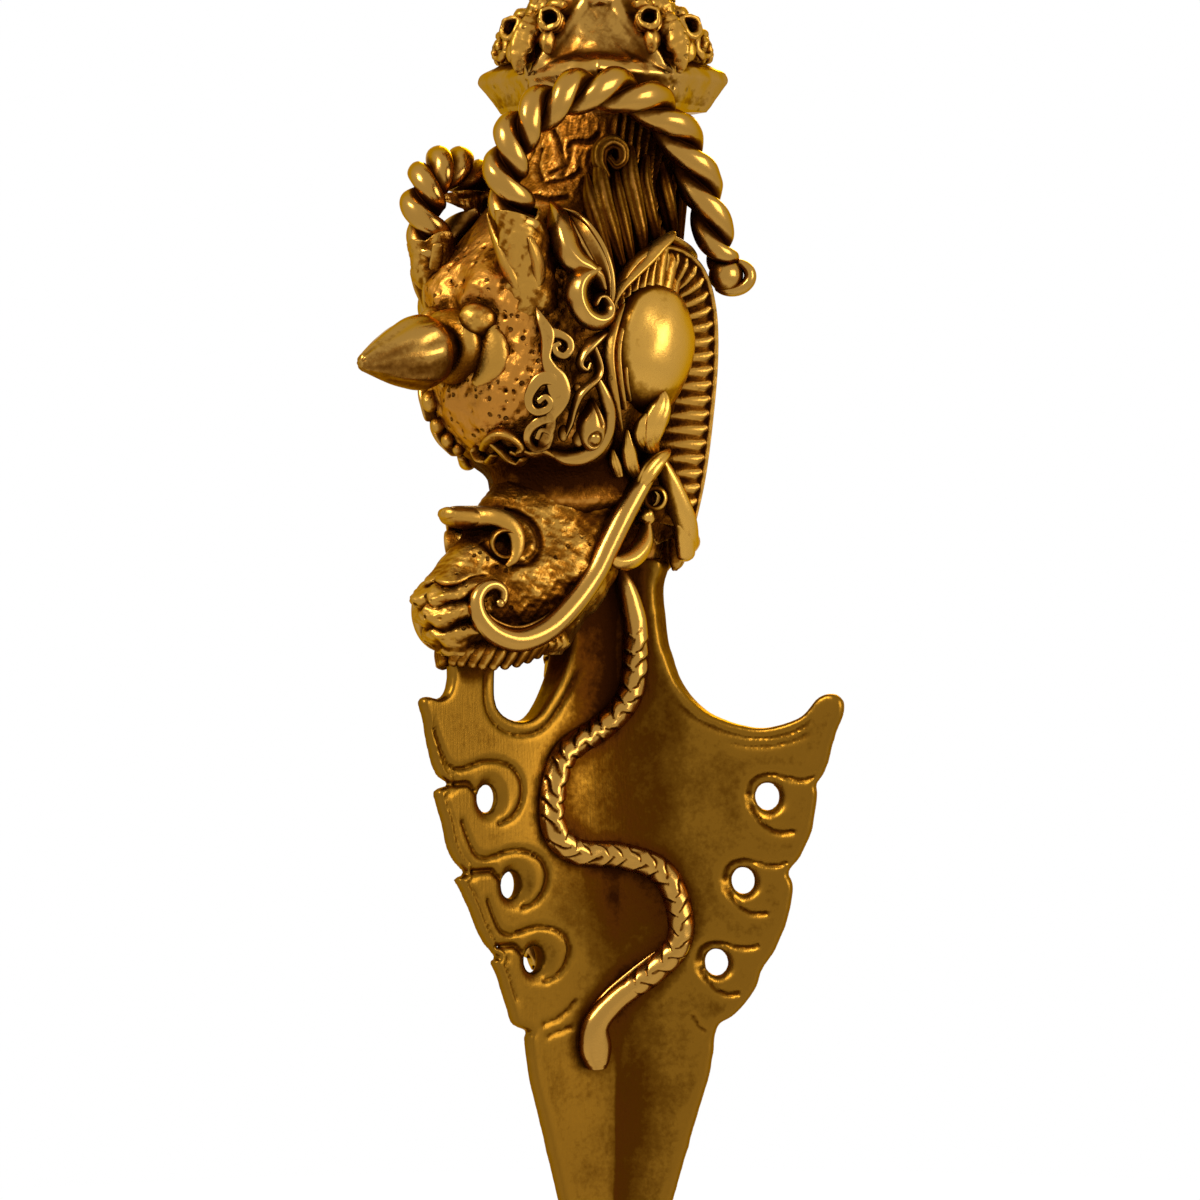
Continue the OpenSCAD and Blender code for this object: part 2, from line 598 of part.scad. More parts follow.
// Forehead spike: a fat cone on a slim neck, seated in a collar on the brow
spike_share = 0.465;
module at_spike() {
  translate(on_skull(spike_share, 0)) rotate([100, 0, 0]) children();
}
module spike_tenon(grow) {
  at_spike() translate([0, 0, -5 - grow]) cylinder(r = 2 + grow, h = 8 + grow, $fn = 16);
}
module spike_collar() {
  color(gold) difference() {
    union() {
      at_spike() translate([0, 0, -1.6]) cylinder(r1 = 5.6, r2 = 4.6, h = 3.8, $fn = 16);
      for (side = [-1, 1]) hull() {
        translate(on_skull(spike_share + 0.05, side * 13, 0.4)) sphere(r = 3, $fn = 8);
        translate(on_skull(spike_share - 0.05, side * 20, 0.3)) sphere(r = 1.8, $fn = 8);
      }
    }
    skull_form();
    spike_tenon(pin_gap);
  }
}
module forehead_spike() {
  r = spike_d / 2;
  color(pale_gold) {
    spike_tenon(0);
    at_spike() translate([0, 0, 2.2]) rotate_extrude($fn = 32)
      polygon([[0, 0], [2.9, 0], [2.7, 1.4], [3.6, 2.4], [r - 0.5, 3], [r, 4.4], [r * 0.93, 6.4],
        [r * 0.7, spike_len * 0.62], [r * 0.34, spike_len * 0.88], [0.5, spike_len], [0, spike_len]]);
  }
}

// Mane: locks that fall from the crown behind the horns, each a tapering wave
module lock(top, foot, around, sway, half) {
  skull_strip([for (i = [0:4]) let (q = i / 4)
    [mix(top, foot, q), around + sway * sin(360 * q) + 6 * q, 0.7 * sin(180 * q) + 0.2,
      half * (0.5 + 0.7 * sin(150 * q + 15)) * (1 - 0.55 * q * q), half * (1 - 0.4 * q)]], 4);
}
module mane_side(left) {
  on_side(left) color(deep_gold) difference() {
    for (i = [0:3]) lock(0.95 - 0.01 * i, 0.68 - 0.015 * i, 62 + 16 * i, 4, 2.2);
    skull_form();
    // Mirrored twice, the horn that lies against these locks keeps its own lay
    on_side(left) horn(left);
  }
}
module mane_back() {
  color(deep_gold) difference() {
    for (i = [-1.5:1.5]) lock(0.93 - 0.03 * abs(i), 0.3 + 0.03 * abs(i), 177 + 20 * i, 5, 2.6);
    skull_form();
  }
}

// Knots: a square bead, widest at its girdle, with a hollowed triangle above each corner of the girdle
// and a mask on each of the four faces between
module knot_form(width, height, z) {
  r = width / 2;
  foot = knot_foot_r;
  level = [[0, 0.78 * r], [0.13, 0.93 * r], [0.34, r], [0.88, foot + 0.8], [1, foot]];
  loft([for (l = level) let (flat = mix(1, 0.8, (l[1] - foot) / (r - foot)))
    [for (i = [0:7]) let (k = i % 2 == 1 ? l[1] : l[1] * flat)
      [k * cos(45 * i), k * sin(45 * i), z + l[0] * height]]]);
}
module knot(width, height, z) {
  r = width / 2;
  color(gold) difference() {
    knot_form(width, height, z);
    // Radial place, place aside and height share of each hollow's base, the floor's middle and the apex
    middle = (r + knot_foot_r) / 2 + 0.4;
    for (i = [0:3]) rotate([0, 0, 45 + 90 * i]) hull()
      for (c = [[0.88 * r, 0, 0.47], [0.62 * r, 0.37 * r, 0.46], [0.62 * r, -0.37 * r, 0.46],
        [middle - knot_hollow, 0, 0.62], [knot_foot_r + 0.2, 0, 0.86]])
        translate([c[0], c[1], z + height * c[2]]) rotate([0, 90, 0]) cylinder(r = 0.4, h = 7, $fn = 4);
    rod_hole(z - 1, height + 2);
  }
}
module knot_masks(width, height, z) {
  // Each mask has two ringed eyes, a beaked muzzle and a curled ear at each side
  r = width / 2;
  u = height / 16.5;
  color(pale_gold) difference() {
    for (i = [0:3]) rotate([0, 0, 90 * i]) {
      hull() {
        translate([r * 0.74, 0, z + height * 0.66]) sphere(r = 2.1 * u, $fn = 6);
        translate([r * 0.83, 0, z + height * 0.34]) sphere(r = 1.2 * u, $fn = 5);
      }
      for (side = [-1, 1]) {
        translate([r * 0.68, side * 3.9 * u, z + height * 0.72]) rotate([0, 72, side * 24]) difference() {
          cylinder(r1 = 2.5 * u, r2 = 1.9 * u, h = 3.2 * u, $fn = 7);
          translate([0, 0, 1.4 * u]) cylinder(r = 0.9 * u, h = 3, $fn = 4);
        }
        translate([r * 0.62, side * 7.6 * u, z + height * 0.6]) rotate([0, 90, side * 40])
          cylinder(r1 = 2.2 * u, r2 = 1.4 * u, h = 2.6 * u, $fn = 5);
      }
    }
    knot_form(width, height, z);
  }
}

// Handle: every piece is threaded on the tie rod
module rod_hole(z, h) {
  translate([0, 0, z]) cylinder(r = rod_r + pin_gap, h = h, $fn = 20);
}
module flip(z, h, up) {
  // Stands a piece of height h on z, or hangs the same piece upside down there
  translate([0, 0, up ? z : z + h]) mirror([0, 0, up ? 0 : 1]) children();
}
module lotus(z, up) {
  // A fluted collar whose petals open away from the grip
  color(gold) difference() {
    flip(z, lotus_h, up) rotate_extrude($fn = 48)
      polygon([[0, 0], [lotus_r - 2.2, 0], [lotus_r - 1.8, 1.2], [lotus_r - 2.6, 2.2], [lotus_r - 2.2, 3],
        [lotus_r - 0.4, 5], [lotus_r, 7], [lotus_r - 1.2, 8.6], [grip_r - 1.4, lotus_h], [0, lotus_h]]);
    flip(z, lotus_h, up) for (i = [0:petals - 1]) rotate([0, 0, 360 * (i + 0.5) / petals])
      translate([lotus_r + 0.5, 0, 6.4]) rotate([0, -22, 0]) cylinder(r = 1.3, h = 12, center = true, $fn = 16);
    rod_hole(z - 1, lotus_h + 2);
  }
}
module grip_part(z, up) {
  // A tapering half of the grip, hollowed between its ribs like a bundle of closed prongs
  color(gold) difference() {
    flip(z, grip_half, up) rotate_extrude($fn = 48)
      polygon([[0, 0], [grip_r - 2.6, 0], [grip_r - 0.8, grip_half * 0.16], [grip_r, grip_half * 0.4],
        [grip_r - 0.5, grip_half * 0.7], [grip_r - 2.2, grip_half], [0, grip_half]]);
    for (i = [0:flutes - 1]) rotate([0, 0, 360 * (i + 0.5) / flutes])
      translate([grip_r + 1, 0, z - 1]) cylinder(r = 2.1, h = grip_half + 2, $fn = 20);
    rod_hole(z - 1, grip_half + 2);
  }
}
module grip_ring() {
  // Two beaded bands with a groove between them
  beads = 2 * flutes;
  color(pale_gold) difference() {
    union() {
      translate([0, 0, z_ring]) cylinder(r = grip_r - 0.6, h = ring_h, $fn = 48);
      for (b = [0.25, 0.75]) translate([0, 0, z_ring + b * ring_h])
        rotate_extrude($fn = 48) translate([grip_r - 0.6, 0]) circle(ring_h / 4, $fn = 20);
    }
    for (i = [0:beads - 1]) rotate([0, 0, 360 * i / beads])
      translate([grip_r + 1.3, 0, z_ring - 1]) cylinder(r = 0.9, h = ring_h + 2, $fn = 14);
    rod_hole(z_ring - 1, ring_h + 2);
  }
}
peen_h = 1.6;
module tie_rod() {
  // The rod's upper end is peened over the top of the finial's seat
  color(deep_gold) {
    translate([0, 0, z_knot - rod_bite + end_play])
      cylinder(r = rod_r, h = z_claws - z_knot + rod_bite - end_play, $fn = 32);
    translate([0, 0, z_claws]) cylinder(r1 = rod_r + 1, r2 = rod_r + 0.2, h = peen_h, $fn = 32);
  }
}

// Finial: half of a vajra, its claws closing over a central spike
module vajra_seat() {
  foot = knot_foot_r;
  color(gold) difference() {
    translate([0, 0, z_vajra]) rotate_extrude($fn = 48)
      polygon([[0, 0], [foot - 1, 0], [foot, 1], [foot - 0.6, 2.2], [foot - 3, 3.4], [foot - 2.4, seat_h - 1],
        [foot - 3.2, seat_h], [0, seat_h]]);
    for (i = [0:petals - 1]) rotate([0, 0, 360 * i / petals])
      translate([foot + 0.5, 0, z_vajra + 1.2]) rotate([0, -28, 0]) cylinder(r = 1, h = 6, center = true, $fn = 14);
    rod_hole(z_vajra - 1, seat_h + 2);
  }
}
// A claw's line: share of vajra_r, share of vajra_h, half width and half depth
CLAW = [[0.36, 0, 1.3, 1.5], [0.62, 0.07, 1.6, 1.7], [0.92, 0.26, 1.5, 1.6], [0.98, 0.44, 1.3, 1.5],
  [0.84, 0.64, 1.2, 1.3], [0.55, 0.82, 1, 1.1], [0.3, 0.93, 0.7, 0.7]];
module vajra_claws() {
  rows = smooth(CLAW, 1);
  color(pale_gold) difference() {
    for (i = [0:claws - 1]) rotate([0, 0, 360 * i / claws])
      sweep([for (r = rows) [r[0] * vajra_r, 0, z_claws + r[1] * vajra_h]], [for (r = rows) [1, 0, 0.01]],
        [for (r = rows) r[2]], [for (r = rows) r[3]], 5);
    vajra_core_form();
  }
}
module vajra_core_form() {
  translate([0, 0, z_claws]) rotate_extrude($fn = 24)
    polygon([[0, 0], [4.4, 0], [3.6, vajra_h * 0.1], [2.2, vajra_h * 0.2], [2.6, vajra_h * 0.4],
      [2.9, vajra_h * 0.56], [2.2, vajra_h * 0.78], [1, vajra_h * 0.94], [0.4, vajra_h], [0, vajra_h]]);
}
module vajra_core() {
  color(pale_gold) difference() {
    vajra_core_form();
    translate([0, 0, z_claws - 0.01]) cylinder(r1 = rod_r + 1.1, r2 = rod_r + 0.3, h = peen_h + 0.15, $fn = 24);
  }
}

blade();
snake(0);  // snake_right
snake(1);  // snake_back
snake(2);  // snake_left
skull();
snout();
lower_jaw();
teeth_upper();
teeth_lower();
lip_strip(false);  // lip_strip_right
lip_strip(true);  // lip_strip_left
nose_visor();
nostril(false);  // nostril_right
nostril(true);  // nostril_left
eye(false);  // eye_right
eye(true);  // eye_left
brow_scroll(false);  // brow_scroll_right
brow_scroll(true);  // brow_scroll_left
brow_beads();
cheek(false);  // cheek_right
cheek(true);  // cheek_left
frill(false);  // frill_right
frill(true);  // frill_left
ear(false);  // ear_right
ear(true);  // ear_left
horn_cup(false);  // horn_cup_right
horn_cup(true);  // horn_cup_left
horn(false);  // horn_right
horn(true);  // horn_left
spike_collar();
forehead_spike();
mane_side(false);  // mane_right
mane_side(true);  // mane_left
mane_back();
knot(knot_w, knot_h, z_knot);  // knot_lower
knot_masks(knot_w, knot_h, z_knot);  // knot_masks_lower
lotus(z_lotus, true);  // lotus_lower
grip_part(z_grip, false);  // grip_lower
grip_ring();
grip_part(z_ring + ring_h, true);  // grip_upper
lotus(z_top_lotus, false);  // lotus_upper
knot(top_knot_w, top_knot_h, z_top_knot);  // knot_upper
knot_masks(top_knot_w, top_knot_h, z_top_knot);  // knot_masks_upper
vajra_seat();
vajra_claws();
vajra_core();
tie_rod();
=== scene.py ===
"""Phurba: a ritual dagger of gilt cast bronze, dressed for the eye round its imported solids.

Sizes are in millimetres until make() puts them into a mesh in metres. The blade's point is the
origin, +Z runs up the handle and the makara's snout points along -Y. Most pieces are sections
carried along a path, turned profiles or other functions of two parameters. The blade is a field,
because its holes and slits need one.
"""
import math
import bpy
import numpy as np
from mathutils import Matrix, Vector


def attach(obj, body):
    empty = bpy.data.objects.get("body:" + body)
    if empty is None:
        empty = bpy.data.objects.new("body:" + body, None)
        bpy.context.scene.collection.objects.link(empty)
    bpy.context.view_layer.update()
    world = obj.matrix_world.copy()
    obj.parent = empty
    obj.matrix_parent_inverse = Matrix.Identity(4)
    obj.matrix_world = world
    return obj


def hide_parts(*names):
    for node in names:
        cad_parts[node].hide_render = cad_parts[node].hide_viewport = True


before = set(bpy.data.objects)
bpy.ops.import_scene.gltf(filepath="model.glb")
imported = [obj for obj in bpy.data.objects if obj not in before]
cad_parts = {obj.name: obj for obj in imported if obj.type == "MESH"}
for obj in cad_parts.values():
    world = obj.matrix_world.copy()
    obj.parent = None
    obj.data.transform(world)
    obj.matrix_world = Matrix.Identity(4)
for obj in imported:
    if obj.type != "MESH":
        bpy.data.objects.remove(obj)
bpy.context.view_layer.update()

# Driving sizes, in millimetres; MM is one of them in Blender's metres
MM = 0.001
BLADE_LEN, FIN_REACH, FIN_EDGE, HOLE_R = 105.5, 37.0, 2.2, 1.8
NECK_LEN, HEAD_LEN, SKULL_W, SKULL_D = 20.5, 67.0, 16.0, 19.5
SNOUT_REACH, SNOUT_DROP, LIP_T = 36.0, 14.0, 3.2
SNAKE_D, SNAKE_HEAD_W, HORN_D, HORN_TURNS = 3.4, 5.0, 6.8, 5.5
KNOT_W, KNOT_H, TOP_KNOT_W, TOP_KNOT_H, KNOT_FOOT = 37.0, 16.5, 31.0, 14.0, 11.0
LOTUS_H, LOTUS_R, GRIP_LEN, GRIP_R, RING_H, SEAT_H = 10.0, 12.6, 40.0, 9.6, 5.0, 6.0
VAJRA_H, VAJRA_R, PETALS, FLUTES, CLAWS = 27.0, 10.0, 12, 8, 4
Z_MOUTH = BLADE_LEN + NECK_LEN
Z_KNOT = Z_MOUTH + HEAD_LEN
Z_LOTUS = Z_KNOT + KNOT_H
Z_GRIP = Z_LOTUS + LOTUS_H
Z_RING = Z_GRIP + (GRIP_LEN - RING_H) / 2
Z_TOP_LOTUS = Z_GRIP + GRIP_LEN
Z_TOP_KNOT = Z_TOP_LOTUS + LOTUS_H
Z_VAJRA = Z_TOP_KNOT + TOP_KNOT_H
Z_CLAWS = Z_VAJRA + SEAT_H


# Curves
def smooth(rows, n):
    """n rows along a Catmull-Rom curve through the given rows; every column is carried alike."""
    c = np.array(rows, float)
    t = np.linspace(0, len(c) - 1, n)
    i = np.minimum(t.astype(int), len(c) - 2)
    f = (t - i)[:, None]
    a, b, d, e = (c[np.clip(i + k, 0, len(c) - 1)] for k in (-1, 0, 1, 2))
    return 0.5 * (2 * b + (d - a) * f + (2 * a - 5 * b + 4 * d - e) * f**2 + (3 * b - a - 3 * d + e) * f**3)


def cos_sin(degrees):
    """Cosine and sine of an angle in degrees."""
    return math.cos(math.radians(degrees)), math.sin(math.radians(degrees))


def circle(n):
    """n angles round a circle, in radians."""
    return np.linspace(0, 2 * math.pi, n, endpoint=False)


def unit(v):
    """Each row divided by its length."""
    return v / np.maximum(np.linalg.norm(v, axis=-1, keepdims=True), 1e-9)


def eased(t):
    """3t^2 - 2t^3, held at 0 and 1."""
    k = np.clip(t, 0, 1)
    return k * k * (3 - 2 * k)


def bump(distance, width):
    """A bell of the given half width: exp(-(d/width)^2)."""
    return np.exp(-((distance / width) ** 2))


def waves(points, size, seed=0, octaves=3):
    """Soft noise from -1 to 1: a sum of sine waves in random directions, whose length starts at size."""
    r = np.random.default_rng(seed)
    total = np.zeros(points.shape[:-1])
    for octave in range(octaves):
        for _ in range(7):
            way = unit(r.normal(size=3)) * 2 * math.pi / (size * r.uniform(0.7, 1.4)) * 2**octave
            total += np.sin(points @ way + r.uniform(0, 6.28)) * 0.55**octave
    return total / 5


def to_line(u, v, line):
    """Distance from each place (u, v) to a line of corner points."""
    best = np.full(np.broadcast(u, v).shape, 1e9)
    for (au, av), (bu, bv) in zip(line[:-1], line[1:]):
        du, dv = bu - au, bv - av
        t = np.clip(((u - au) * du + (v - av) * dv) / (du * du + dv * dv + 1e-12), 0, 1)
        best = np.minimum(best, np.hypot(u - au - t * du, v - av - t * dv))
    return best


def in_outline(u, v, outline):
    """Signed distance to a closed outline, negative inside by the even-odd rule."""
    closed = list(outline) + [outline[0]]
    inside = np.zeros(np.broadcast(u, v).shape, bool)
    for (au, av), (bu, bv) in zip(closed[:-1], closed[1:]):
        if av != bv:
            inside ^= ((av > v) != (bv > v)) & (u < (bu - au) * (v - av) / (bv - av) + au)
    away = to_line(u, v, closed)
    return np.where(inside, -away, away)


# Meshes: a shell is (points, faces as rows of four, a repeated corner makes a triangle)
def skin(rings):
    """Closes rings of equal count into a shell: quads between rings, and a fan on a pole at each end."""
    p = np.asarray(rings, float)
    n, m = p.shape[:2]
    points = np.vstack([p.reshape(-1, 3), p[0].mean(0), p[-1].mean(0)])
    i, j = np.meshgrid(np.arange(n - 1), np.arange(m), indexing="ij")
    a, b = i * m + j, i * m + (j + 1) % m
    walls = np.stack([a, b, b + m, a + m], -1).reshape(-1, 4)
    k = np.arange(m)
    start, end = n * m, n * m + 1
    low = np.stack([(k + 1) % m, k, np.full(m, start), np.full(m, start)], -1)
    top = (n - 1) * m
    high = np.stack([top + k, top + (k + 1) % m, np.full(m, end), np.full(m, end)], -1)
    return points, np.vstack([walls, low, high])


def skin_field(field, low, cell):
    """Surface nets: a point in each cell that the zero level crosses, at the mean of its crossings."""
    owners, places, flips = [], [], []
    size = np.array(field.shape) - 1
    for axis in range(3):
        near = np.moveaxis(field, axis, 0)[:-1]
        far = np.moveaxis(field, axis, 0)[1:]
        where = np.argwhere((near < 0) != (far < 0))
        a, b = near[tuple(where.T)], far[tuple(where.T)]
        order = [axis] + [k for k in range(3) if k != axis]
        grid = np.empty_like(where)
        grid[:, order] = where
        place = grid.astype(float)
        place[:, axis] += a / (a - b)
        one, two = (axis + 1) % 3, (axis + 2) % 3
        for step in ((0, 0), (-1, 0), (-1, -1), (0, -1)):
            around = grid.copy()
            around[:, one] += step[0]
            around[:, two] += step[1]
            owners.append(np.ravel_multi_index(np.clip(around, 0, size - 1).T, size))
            places.append(place)
        flips.append(a > 0)
    counts = [len(f) for f in flips]
    found, index = np.unique(np.concatenate(owners), return_inverse=True)
    place = np.concatenate(places)
    total = np.bincount(index, minlength=len(found))
    points = np.stack([np.bincount(index, place[:, k], len(found)) / total for k in range(3)], -1)
    faces, start = [], 0
    for count, flip in zip(counts, flips):
        quad = index[start:start + 4 * count].reshape(4, count).T
        faces.append(np.where(flip[:, None], quad[:, ::-1], quad))
        start += 4 * count
    return points * cell + low, np.vstack(faces)


def join(shells):
    """Several shells as one."""
    points, faces, start = [], [], 0
    for p, f in shells:
        points.append(p)
        faces.append(f + start)
        start += len(p)
    return np.vstack(points), np.vstack(faces)


def mirrored(shell):
    """The shell on the makara's other side: x changes sign and each face turns round."""
    points, faces = shell
    return points * [-1, 1, 1], faces[:, ::-1]


def turned(shell, degrees):
    """The shell turned about the dagger's axis."""
    c, s = cos_sin(degrees)
    points, faces = shell
    return points @ np.array([[c, s, 0], [-s, c, 0], [0, 0, 1]]), faces


def stood(shell, place, way):
    """The shell's own axis turned from +Z to another way, and its origin moved to a place."""
    turn = np.array(Vector((0, 0, 1)).rotation_difference(Vector(way)).to_matrix())
    points, faces = shell
    return points @ turn.T + place, faces


def raised(shell, z):
    """The shell lifted by z."""
    points, faces = shell
    return points + [0, 0, z], faces


def turned_over(shell, height):
    """The shell upside down within its height."""
    points, faces = shell
    return points * [1, 1, -1] + [0, 0, height], faces[:, ::-1]


made = []


def make(name, shell, nodes, finish, patina_and_shade=0.0, pits=0.0):
    """Puts a shell into a mesh object that stands for CAD nodes. Repeated corners become triangles.

    patina_and_shade (patina mixed with painted shade) and pits are one number for the whole piece, or one for
    each point."""
    points, faces = shell
    three = faces[:, 2] == faces[:, 3]
    two = faces[:, 0] == faces[:, 1]
    quads = faces[~three & ~two]
    threes = np.vstack([faces[three][:, :3], faces[two & ~three][:, 1:]])
    mesh = bpy.data.meshes.new(name)
    mesh.vertices.add(len(points))
    mesh.vertices.foreach_set("co", (points * MM).astype(np.float32).ravel())
    mesh.loops.add(quads.size + threes.size)
    mesh.loops.foreach_set("vertex_index", np.concatenate([quads.ravel(), threes.ravel()]).astype(np.int32))
    mesh.polygons.add(len(quads) + len(threes))
    starts = np.concatenate([np.arange(len(quads)) * 4, quads.size + np.arange(len(threes)) * 3])
    mesh.polygons.foreach_set("loop_start", starts.astype(np.int32))
    mesh.polygons.foreach_set("use_smooth", np.ones(len(starts), bool))
    mesh.update(calc_edges=True)
    mesh.validate()
    for layer, values in (("pitted", pits), ("patina_and_shade", patina_and_shade)):
        values = np.asarray(values, float).ravel()
        if values.size == 1:
            values = np.repeat(values, len(points))
        # A shell's two poles come after its grid and may be left out of the list
        values = np.append(values, np.zeros(len(points) - values.size))
        mesh.attributes.new(layer, "FLOAT", "POINT").data.foreach_set("value", values.astype(np.float32))
    piece = bpy.data.objects.new(name, mesh)
    bpy.context.collection.objects.link(piece)
    mesh.materials.append(finish)
    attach(piece, "root")
    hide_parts(*nodes)
    made.append(piece)


def frames(path, ups):
    """Along a path: the way up squared to its direction, and the way across."""
    ahead = unit(np.gradient(path, axis=0))
    up = unit(ups - (ups * ahead).sum(1, keepdims=True) * ahead)
    return up, np.cross(up, ahead)


def carried(path, first):
    """The first way up, squared again and again to the path's direction, so that it never spins."""
    ahead = unit(np.gradient(path, axis=0))
    ups = [np.array(first, float)]
    for t in ahead:
        u = ups[-1] - (ups[-1] @ t) * t
        ups.append(u / np.linalg.norm(u))
    return np.array(ups[1:])


def upright(x, z, y=0.0):
    """A path from columns x and z, with one y for all of it or a column of them."""
    return np.column_stack([x, np.broadcast_to(y, x.shape), z])


def distance_gone(path):
    """Distance gone along a path at each of its points."""
    return np.concatenate([[0], np.cumsum(np.linalg.norm(np.diff(path, axis=0), axis=1))])


def swept(path, up, across, x, y):
    """Rings along a path: the points of a ring lie x mm across it and y mm up from it."""
    return path[:, None] + across[:, None] * x[..., None] + up[:, None] * y[..., None]


def rod(path, ups, wide, high, section=None, sides=20):
    """A section carried along a path: p + across*wide*x + up*high*y, with x, y from the section.

    One way up, width or height may stand for the whole path."""
    path = np.asarray(path, float)
    ups = np.broadcast_to(np.asarray(ups, float), path.shape)
    wide, high = (np.broadcast_to(np.asarray(a, float), len(path)) for a in (wide, high))
    # Both ends close over a quarter circle: rings step out by sin and shrink by cos
    q = np.radians([85, 65, 40, 18])
    a, b = path[0] - path[1], path[-1] - path[-2]
    head = path[0] + unit(a[None]) * min(wide[0], high[0]) * np.sin(q)[:, None]
    tail = path[-1] + unit(b[None]) * min(wide[-1], high[-1]) * np.sin(q[::-1])[:, None]
    path = np.vstack([head, path, tail])
    ups = np.vstack([np.repeat(ups[:1], 4, 0), ups, np.repeat(ups[-1:], 4, 0)])
    wide, high = (np.concatenate([w[0] * np.cos(q), w, w[-1] * np.cos(q[::-1])]) for w in (wide, high))
    up, across = frames(path, ups)
    a = circle(sides)
    x, y = (np.cos(a), np.sin(a)) if section is None else section(a, np.linspace(0, 1, len(path))[:, None])
    x, y = np.broadcast_to(x, (len(path), sides)), np.broadcast_to(y, (len(path), sides))
    return skin(swept(path, up, across, wide[:, None] * x, high[:, None] * y))


# Sections: x and y over the angle a round them, and over the share t of the path that is gone
def ridged(a, t=0):
    """A section with a blunt crest on top: a circle drawn up to a ridge of chased metal."""
    crest = np.exp(-((a - math.pi / 2) / 0.5) ** 2)
    return np.cos(a) * (1 - 0.12 * np.sin(a)), np.sin(a) * (1 + 0.18 * crest)


def slab(a, t=0):
    """A flat-topped section with steep, rounded flanks, as on chased scrollwork."""
    c, s = np.cos(a), np.sin(a)
    return np.sign(c) * np.abs(c) ** 0.62, np.sign(s) * np.abs(s) ** 0.42


def bevelled(a, t=0):
    """A flat strip's section with two bevels and a blunt arris along its middle."""
    c, s = np.cos(a), np.sin(a)
    arris = 1 + 0.12 * bump(np.abs(a - math.pi / 2), 0.35)
    return np.sign(c) * np.abs(c) ** 0.8, np.sign(s) * np.abs(s) ** 0.9 * arris


def feathered(a, t=0):
    """A leaf's section with a keel and a cut to each side of it."""
    top = bump(a - math.pi / 2, 0.9)
    cuts = 0.3 * bump(np.abs(a - math.pi / 2) - 0.5, 0.13) + 0.25 * bump(np.abs(a - math.pi / 2) - 0.95, 0.12)
    return np.cos(a) * (1 - cuts * 0.3), np.sin(a) * (1 + 0.15 * top - cuts)


def tressed(a, t=0):
    """A lock's section: a flattened round, cut by grooves between its hairs, which lean over along it."""
    hair = np.abs(np.sin(3.5 * a + 2.2 * np.sin(2.4 * t)))
    k = 0.86 + 0.16 * hair
    return np.cos(a) * k, np.sin(a) * k


# Balls and turned pieces
def egg(centre, radii, tilt=(0, 0, 0), n=48, shape=None):
    """A ball with three radii, tilted in X, Y, Z order; shape may swell the unit ball first."""
    lat, lon = np.linspace(-89, 89, n), np.linspace(0, 360, 2 * n, endpoint=False)
    la, lo = np.radians(lat)[:, None], np.radians(lon)[None]
    ball = np.stack([np.cos(la) * np.cos(lo), np.cos(la) * np.sin(lo), np.sin(la) + 0 * lo], -1)
    if shape is not None:
        ball = shape(ball)
    ball = ball * np.array(radii)
    for axis, angle in enumerate(tilt):
        c, s = cos_sin(angle)
        i, j = [(1, 2), (2, 0), (0, 1)][axis]
        ball[..., i], ball[..., j] = c * ball[..., i] - s * ball[..., j], s * ball[..., i] + c * ball[..., j]
    return skin(ball + np.array(centre))


def lathe(profile, around=96, relief=None):
    """A profile of (radius, height) turned round the axis; relief(angle, r, z) is added to the radius."""
    pr = np.array(profile, float)
    a = circle(around)[None]
    r, z = pr[:, :1] + 0 * a, pr[:, 1:] + 0 * a
    if relief is not None:
        r = r + relief(a, r, z)
    return skin(np.stack([r * np.cos(a), r * np.sin(a), z], -1))


# Finishes of the metal
def linear(code):
    """An sRGB hex colour as linear red, green, blue, alpha."""
    parts = [int(code[i:i + 2], 16) / 255 for i in (1, 3, 5)]
    return [c / 12.92 if c <= 0.04045 else ((c + 0.055) / 1.055) ** 2.4 for c in parts] + [1.0]


def per_mm(size):
    """Noise scale whose cells are about the given size in millimetres, on coordinates in metres."""
    return 1000.0 / size


def add(tree, kind, settings=None, **links):
    """Adds a node: settings go on the node or its input sockets, links are other nodes' outputs."""
    node = tree.nodes.new(kind)
    for key, value in (settings or {}).items():
        if isinstance(key, str) and hasattr(node, key):
            setattr(node, key, value)
        else:
            node.inputs[key].default_value = value
    for key, output in links.items():
        name = int(key[1:]) if key[0] == "i" and key[1:].isdigit() else key.replace("_", " ")
        tree.links.new(output, node.inputs[name])
    return node


MATH = "ShaderNodeMath"


